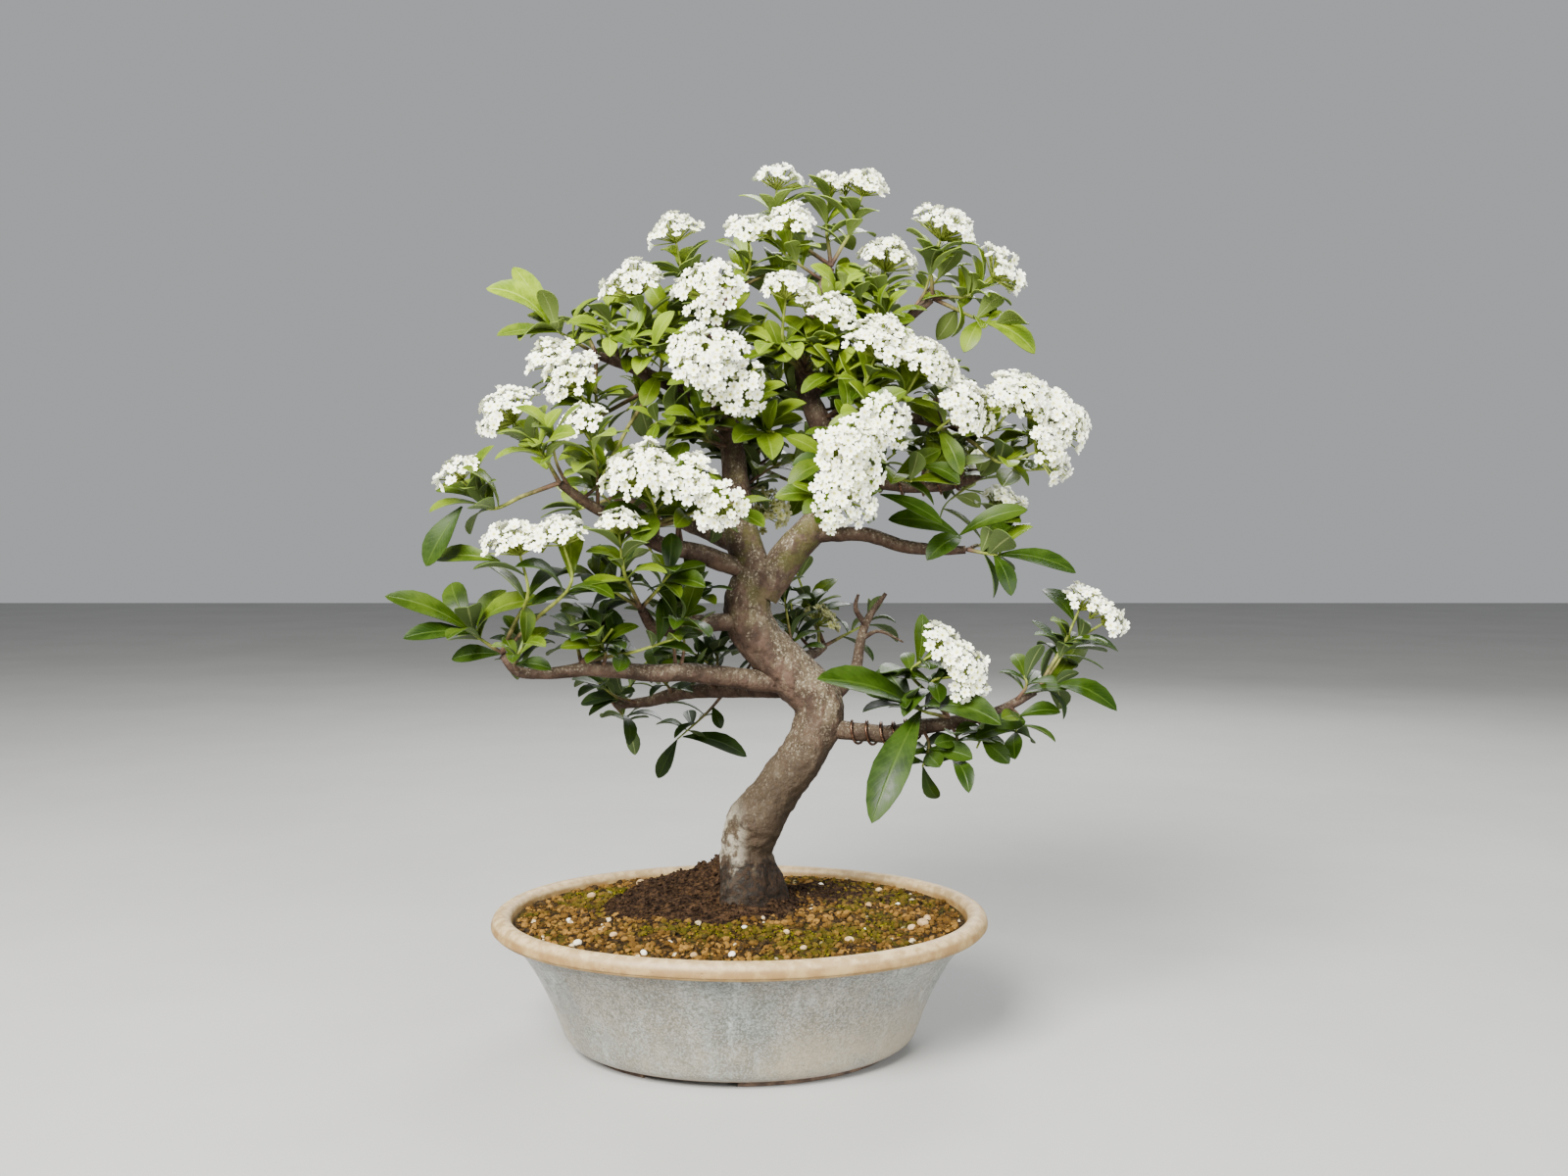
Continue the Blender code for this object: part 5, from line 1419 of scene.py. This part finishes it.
# %% Make the shoots
# Paths, thickness and youth of the two kinds of shoot, each from its foot to its end.
shoot_kinds = ((sum(SHOOTS.values(), []), (1.5, 0.75), (-0.2, 1.6)), (twigs, (1.3, 0.6), (-0.6, 1.2)))
shoot_parts, young = [], []
for paths, thick, age in shoot_kinds:
    for path in paths:
        shoot_parts.append(tube(path, np.linspace(*thick, len(path)), 8))
        share = np.clip(np.linspace(*age, len(path)), 0, 1)
        young.append(np.append(np.repeat(share, 8), share[[0, -1]]))
points, faces = joined(shoot_parts)
shoots = make_piece("green_shoots", points, faces, shoot_finish(),
                    attributes={"young": np.concatenate(young)})
print("leaves:", leaf_count, "shoots:", len(shoot_parts))

# %% [markdown]
# A firethorn flower is six millimetres across: five round white petals about a yellow-green
# middle. Dozens stand close together in a domed head, each on its own stalk. One flower is a
# closed shell of fifteen spokes, whose rim steps in between the petals and whose middle is
# dished. The array formula sets all flowers of a head at once, wound at the golden angle over
# the dome, and those too near one another are thinned out.

# %% Flowers of a head
FLOWER_RADIUS = 3.6
FLOWER_GAP = 4.5
FLOWER_REACH = 4.3
SPOKES = 15
PETAL_REACH = np.tile([0.62, 1.0, 1.0], 5)
PETAL_TURN = np.radians(np.add.outer(72.0 * np.arange(5), (0.0, 19.0, 53.0)).reshape(-1))


def flower_shape():
    """Points of one flower: its middle, an inner ring, the petals' rim and its point below, as
    (x, y, z) for a radius of 1, with how far out each lies."""
    spoke = np.stack([np.cos(PETAL_TURN), np.sin(PETAL_TURN)], 1)
    eye = np.column_stack([0.27 * spoke, np.full(SPOKES, -0.02)])
    rim = np.column_stack([PETAL_REACH[:, None] * spoke, 0.2 * PETAL_REACH**2])
    points = np.vstack([[(0, 0, 0.03)], eye, rim, [(0, 0, -0.42)]])
    out = np.concatenate([[0], np.full(SPOKES, 0.27), PETAL_REACH, [0.9]])
    first = np.arange(SPOKES)
    follow = np.roll(first, -1)
    middle = np.stack([np.zeros(SPOKES, int), first + 1, follow + 1], 1)
    petals = np.stack([first + 1, first + 1 + SPOKES, follow + 1 + SPOKES, follow + 1], 1)
    below = np.stack([follow + 1 + SPOKES, first + 1 + SPOKES, np.full(SPOKES, 1 + 2 * SPOKES)], 1)
    return points, out, petals, np.vstack([middle, below])


FLOWER, FLOWER_OUT, FLOWER_QUADS, FLOWER_TRIANGLES = flower_shape()
print("points of a flower:", len(FLOWER))


# %% Flowers over a head
def flat_axes(face):
    """Two directions at right angles to a head's facing."""
    across = unit(np.cross(face, (0.2, 0.5, 0.9)))
    return across, np.cross(face, across)


def dome(middle, face, radius, count, draw):
    """Places and facings of flowers on a dome: middle + R (0.93 flat + 0.5 (1 - share^2) face),
    a little unsettled."""
    across, other = flat_axes(face)
    share = np.sqrt((np.arange(count) + 0.5) / count)
    angle = np.arange(count) * TURN + draw.uniform(0, math.tau)
    flat = (across * np.cos(angle)[:, None] + other * np.sin(angle)[:, None]) * share[:, None]
    place = middle + radius * (0.93 * flat + DOME_RISE * (1 - share**2)[:, None] * face)
    place = place + draw.normal(0, 0.04 * radius + 0.3, (count, 3))
    return place, unit(face + 0.85 * flat + draw.normal(0, 0.22, (count, 3)))


def spaced(place, gap):
    """Which flowers stand at least a gap away from every one kept before them."""
    near = np.linalg.norm(place[:, None] - place[None], axis=-1) < gap
    keep = np.ones(len(place), bool)
    for k in range(1, len(place)):
        keep[k] = not (near[k, :k] & keep[:k]).any()
    return keep


def head_flowers(head, draw):
    """The flowers of a head: small domes spread over its big one at the golden angle, each turned
    outwards and set higher or lower than the next, with the big dome behind them."""
    middle, face, radius = np.array(head[:3], float), facing(head), head[3]
    across, other = flat_axes(face)
    phase, count = draw.uniform(0, math.tau), 6 + int(radius / 5)
    domes = []
    for k in range(count):
        angle, share = phase + k * TURN + draw.uniform(-0.25, 0.25), math.sqrt((k + 0.3) / count)
        out = (across * math.cos(angle) + other * math.sin(angle)) * share
        small = radius * draw.uniform(0.28, 0.42)
        rise = 0.34 * (1 - share**2) + draw.uniform(-0.16, 0.14)
        centre = middle + radius * (draw.uniform(0.74, 0.88) * out + rise * face)
        domes.append(dome(centre, unit(face + 0.8 * out), small, int(0.18 * small**2) + 8, draw))
    domes.append(dome(middle - 0.1 * radius * face, face, radius * 0.96, int(0.1 * radius**2) + 6, draw))
    place, out = (np.vstack(column) for column in zip(*domes))
    left, right = cad_box[0][0] / MM, cad_box[1][0] / MM
    place[:, 0] = np.clip(place[:, 0], left + FLOWER_REACH, right - FLOWER_REACH)
    keep = spaced(place, FLOWER_GAP)
    return place[keep], out[keep]


def flower_piece(name, heads, material, stalk_parts, stands_for=()):
    """All flowers of a cluster of heads, each turned at random about its own facing. A small dome
    closes the gap between two heads that follow one another."""
    draw = np.random.default_rng(sum(map(ord, name)))
    places, outs = [], []
    for near, far in zip(heads, heads[1:]):
        face, radius = unit(facing(near) + facing(far)), 0.27 * (near[3] + far[3])
        middle = (np.array(near[:3], float) + far[:3]) / 2 + 0.1 * radius * face
        place, out = dome(middle, face, radius, int(0.12 * radius**2) + 6, draw)
        keep = spaced(place, FLOWER_GAP)
        place, out = place[keep], out[keep]
        places.append(place)
        outs.append(out)
        stalk_parts.append((np.broadcast_to(middle - face * radius, place.shape), place - out))
    for head in heads:
        place, out = head_flowers(head, draw)
        hub = np.array(head[:3]) - facing(head) * head[3] * 0.42
        stalk_parts.append((np.broadcast_to(hub, place.shape), place - out))
        places.append(place)
        outs.append(out)
    place, out = np.vstack(places), np.vstack(outs)
    count = len(place)
    side = unit(np.cross(out, draw.normal(size=(count, 3))))
    over = np.cross(out, side)
    size = FLOWER_RADIUS * draw.uniform(0.84, 1.14, count)
    cup = draw.uniform(0.5, 1.7, count)
    local = FLOWER[None] * size[:, None, None] * np.stack([np.ones(count), np.ones(count), cup], 1)[:, None]
    points = (place[:, None] + local[..., :1] * side[:, None] + local[..., 1:2] * over[:, None]
              + local[..., 2:] * out[:, None])
    each = len(FLOWER)
    faces = [copies(some, count, each) for some in (FLOWER_QUADS, FLOWER_TRIANGLES)]
    values = {"out": np.tile(FLOWER_OUT, count), "tone": np.repeat(draw.uniform(0, 1, count), each)}
    piece = make_piece(name, points, faces, material, stands_for, values, sharp=math.radians(65))
    return count


# %% Petal finish
def petal_finish(name, shade):
    f = Finish(name, Roughness=0.55, Specular_IOR_Level=0.15)
    out, tone = f.attribute("out"), f.attribute("tone")
    white = f.mix(tone, (0.88, 0.895, 0.70), (0.955, 0.96, 0.88))
    white = f.tint(white, f.between(out, 0.8, 0.3), 0.6, (0.78, 0.79, 0.42))
    anthers = f.times(f.specks(1500.0, 0.42, 0.7), f.between(out, 0.62, 0.35))
    white = f.tint(white, anthers, 0.6, (0.62, 0.50, 0.18))
    eye = f.mix(tone, (0.36, 0.38, 0.06), (0.56, 0.54, 0.18))
    flower = f.mix(f.between(out, 0.30, 0.16), white, eye)
    # shade multiplies the flower's colour: near white for the heads in view, and a dark olive as painted
    # shade for the heads turned away.
    f.set("Base Color", f.mix(1.0, flower, shade, "MULTIPLY"))
    f.relief((f.patches(700.0, 0.35, 0.65), 0.06, 0.3))
    return f.material


# %% Make the flower heads
petal = petal_finish("white_petal", (1.0, 1.0, 0.985))
stalk_parts = []
flower_count = sum(flower_piece("flowers" + cluster[7:], heads, petal, stalk_parts, [cluster])
                   for cluster, (_, heads) in CLUSTERS.items())

# Three heads turned away from the viewer, low between the leaders and behind the trunk. Their
# petals get a dark olive as painted shade.
shaded_petal = petal_finish("painted_shade_petal", (0.42, 0.42, 0.24))
SHADED_HEADS = {
    "between_leaders": ("left_leader", 0.3, (-5, 38, 346, 18, 0.7)),
    "behind_trunk": ("back_low", 0.9, (34, 60, 272, 13, 0.3)),
    "behind_fork": ("left_back", 0.5, (-62, 44, 366, 14, 0.2)),
}
bearers = []
for name, (limb, share, head) in SHADED_HEADS.items():
    flower_piece("flowers_" + name, [head], shaded_petal, stalk_parts)
    path, _, _ = limb_points(limb)
    start, end = path_point(path, share), np.array(head[:3]) - facing(head) * head[3] * 0.4
    path = smooth_path([start, (start + end) / 2 + (0, 4, -2), end], 16)
    bearers.append(tube(path, np.linspace(1.4, 0.9, len(path)), 8))
points, faces = joined(bearers)
make_piece("shaded_stalks", points, faces, shoot_finish(), attributes={"young": np.full(len(points), 0.7)})


def straight_stalks(low, high, thick):
    """Three-sided stalks from low to high points, closed at both ends."""
    ahead = unit(high - low)
    side = unit(np.cross(ahead, (0.31, 0.52, 0.79)))
    over = np.cross(ahead, side)
    angle = np.arange(3) * math.tau / 3
    spoke = side[:, None] * np.cos(angle)[None, :, None] + over[:, None] * np.sin(angle)[None, :, None]
    ring = spoke * thick
    points = np.concatenate([low[:, None] + ring * 1.3, high[:, None] + ring], 1)
    quads = grid_faces(2, 3, True)
    caps = np.array([(2, 1, 0), (3, 4, 5)])
    return points.reshape(-1, 3), [copies(quads, len(low), 6), copies(caps, len(low), 6)]


low, high = (np.vstack(column) for column in zip(*stalk_parts))
points, faces = straight_stalks(low, high, 0.42)
stalks = make_piece("flower_stalks", points, faces, shoot_finish(),
                    attributes={"young": np.ones(len(points))})
print("flowers:", flower_count)

# %% [markdown]
# The picture was taken with the lens nearly level, a little under a metre away. The camera here
# stands at the same place, so the render lines up with it. A pale floor and three soft lights
# show the colours evenly: a strong one high at the left front, a weaker and wider one at the
# right, and one from behind that lifts the crown off the background.

# %% Floor, lights and camera
grey = mottled("pale_floor", (3.0, 0.3, 0.7), (0.31, 0.31, 0.30), (0.335, 0.335, 0.325), Roughness=0.9)
floor_mesh = bpy.data.meshes.new("floor")
floor_mesh.from_pydata([(-6, -6, 0), (6, -6, 0), (6, 6, 0), (-6, 6, 0)], [], [(0, 1, 2, 3)])
floor_mesh.materials.append(grey)
floor = bpy.data.objects.new("floor", floor_mesh)
bpy.context.scene.collection.objects.link(floor)
floor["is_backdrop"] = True


def soft_light(name, place, size, energy, colour=(1, 1, 1)):
    """A square area light aimed at the middle of the tree."""
    data = bpy.data.lights.new(name, "AREA")
    data.shape, data.size, data.energy, data.color = "SQUARE", size, energy, colour
    light = bpy.data.objects.new(name, data)
    light.location = place
    aim = np.array((0, 0, 0.3)) - np.array(place)
    tilt = math.acos(-aim[2] / np.linalg.norm(aim))
    light.rotation_euler = (tilt, 0, math.atan2(aim[1], aim[0]) - math.pi / 2)
    bpy.context.scene.collection.objects.link(light)


soft_light("key", (-0.8, -1.5, 1.5), 1.0, 235, (1.0, 0.98, 0.935))
soft_light("fill", (1.5, -1.2, 0.7), 1.3, 50, (0.97, 0.985, 1.0))
soft_light("back", (0.4, 1.5, 1.4), 1.0, 40)

world = bpy.data.worlds.new("pale_room")
world.use_nodes = True
sky = world.node_tree.nodes["Background"]
sky.inputs["Color"].default_value = (0.80, 0.82, 0.84, 1)
sky.inputs["Strength"].default_value = 0.5
bpy.context.scene.world = world

camera_data = bpy.data.cameras.new("camera")
camera_data.sensor_width = 36.0
camera_data.lens = 32.625
camera = bpy.data.objects.new("camera", camera_data)
camera.location = (0.0085, -0.915, 0.329)
camera.rotation_euler = (math.pi / 2 - 0.037, 0, 0)
bpy.context.scene.collection.objects.link(camera)
bpy.context.scene.camera = camera
print("lens in mm:", camera_data.lens)

# %% Write the sizes and finish
look_box = [list(corner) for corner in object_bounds()]
for label, box in (("CAD", cad_box), ("look", look_box)):
    print(label, "box in mm:", [[round(value / MM, 1) for value in corner] for corner in box])
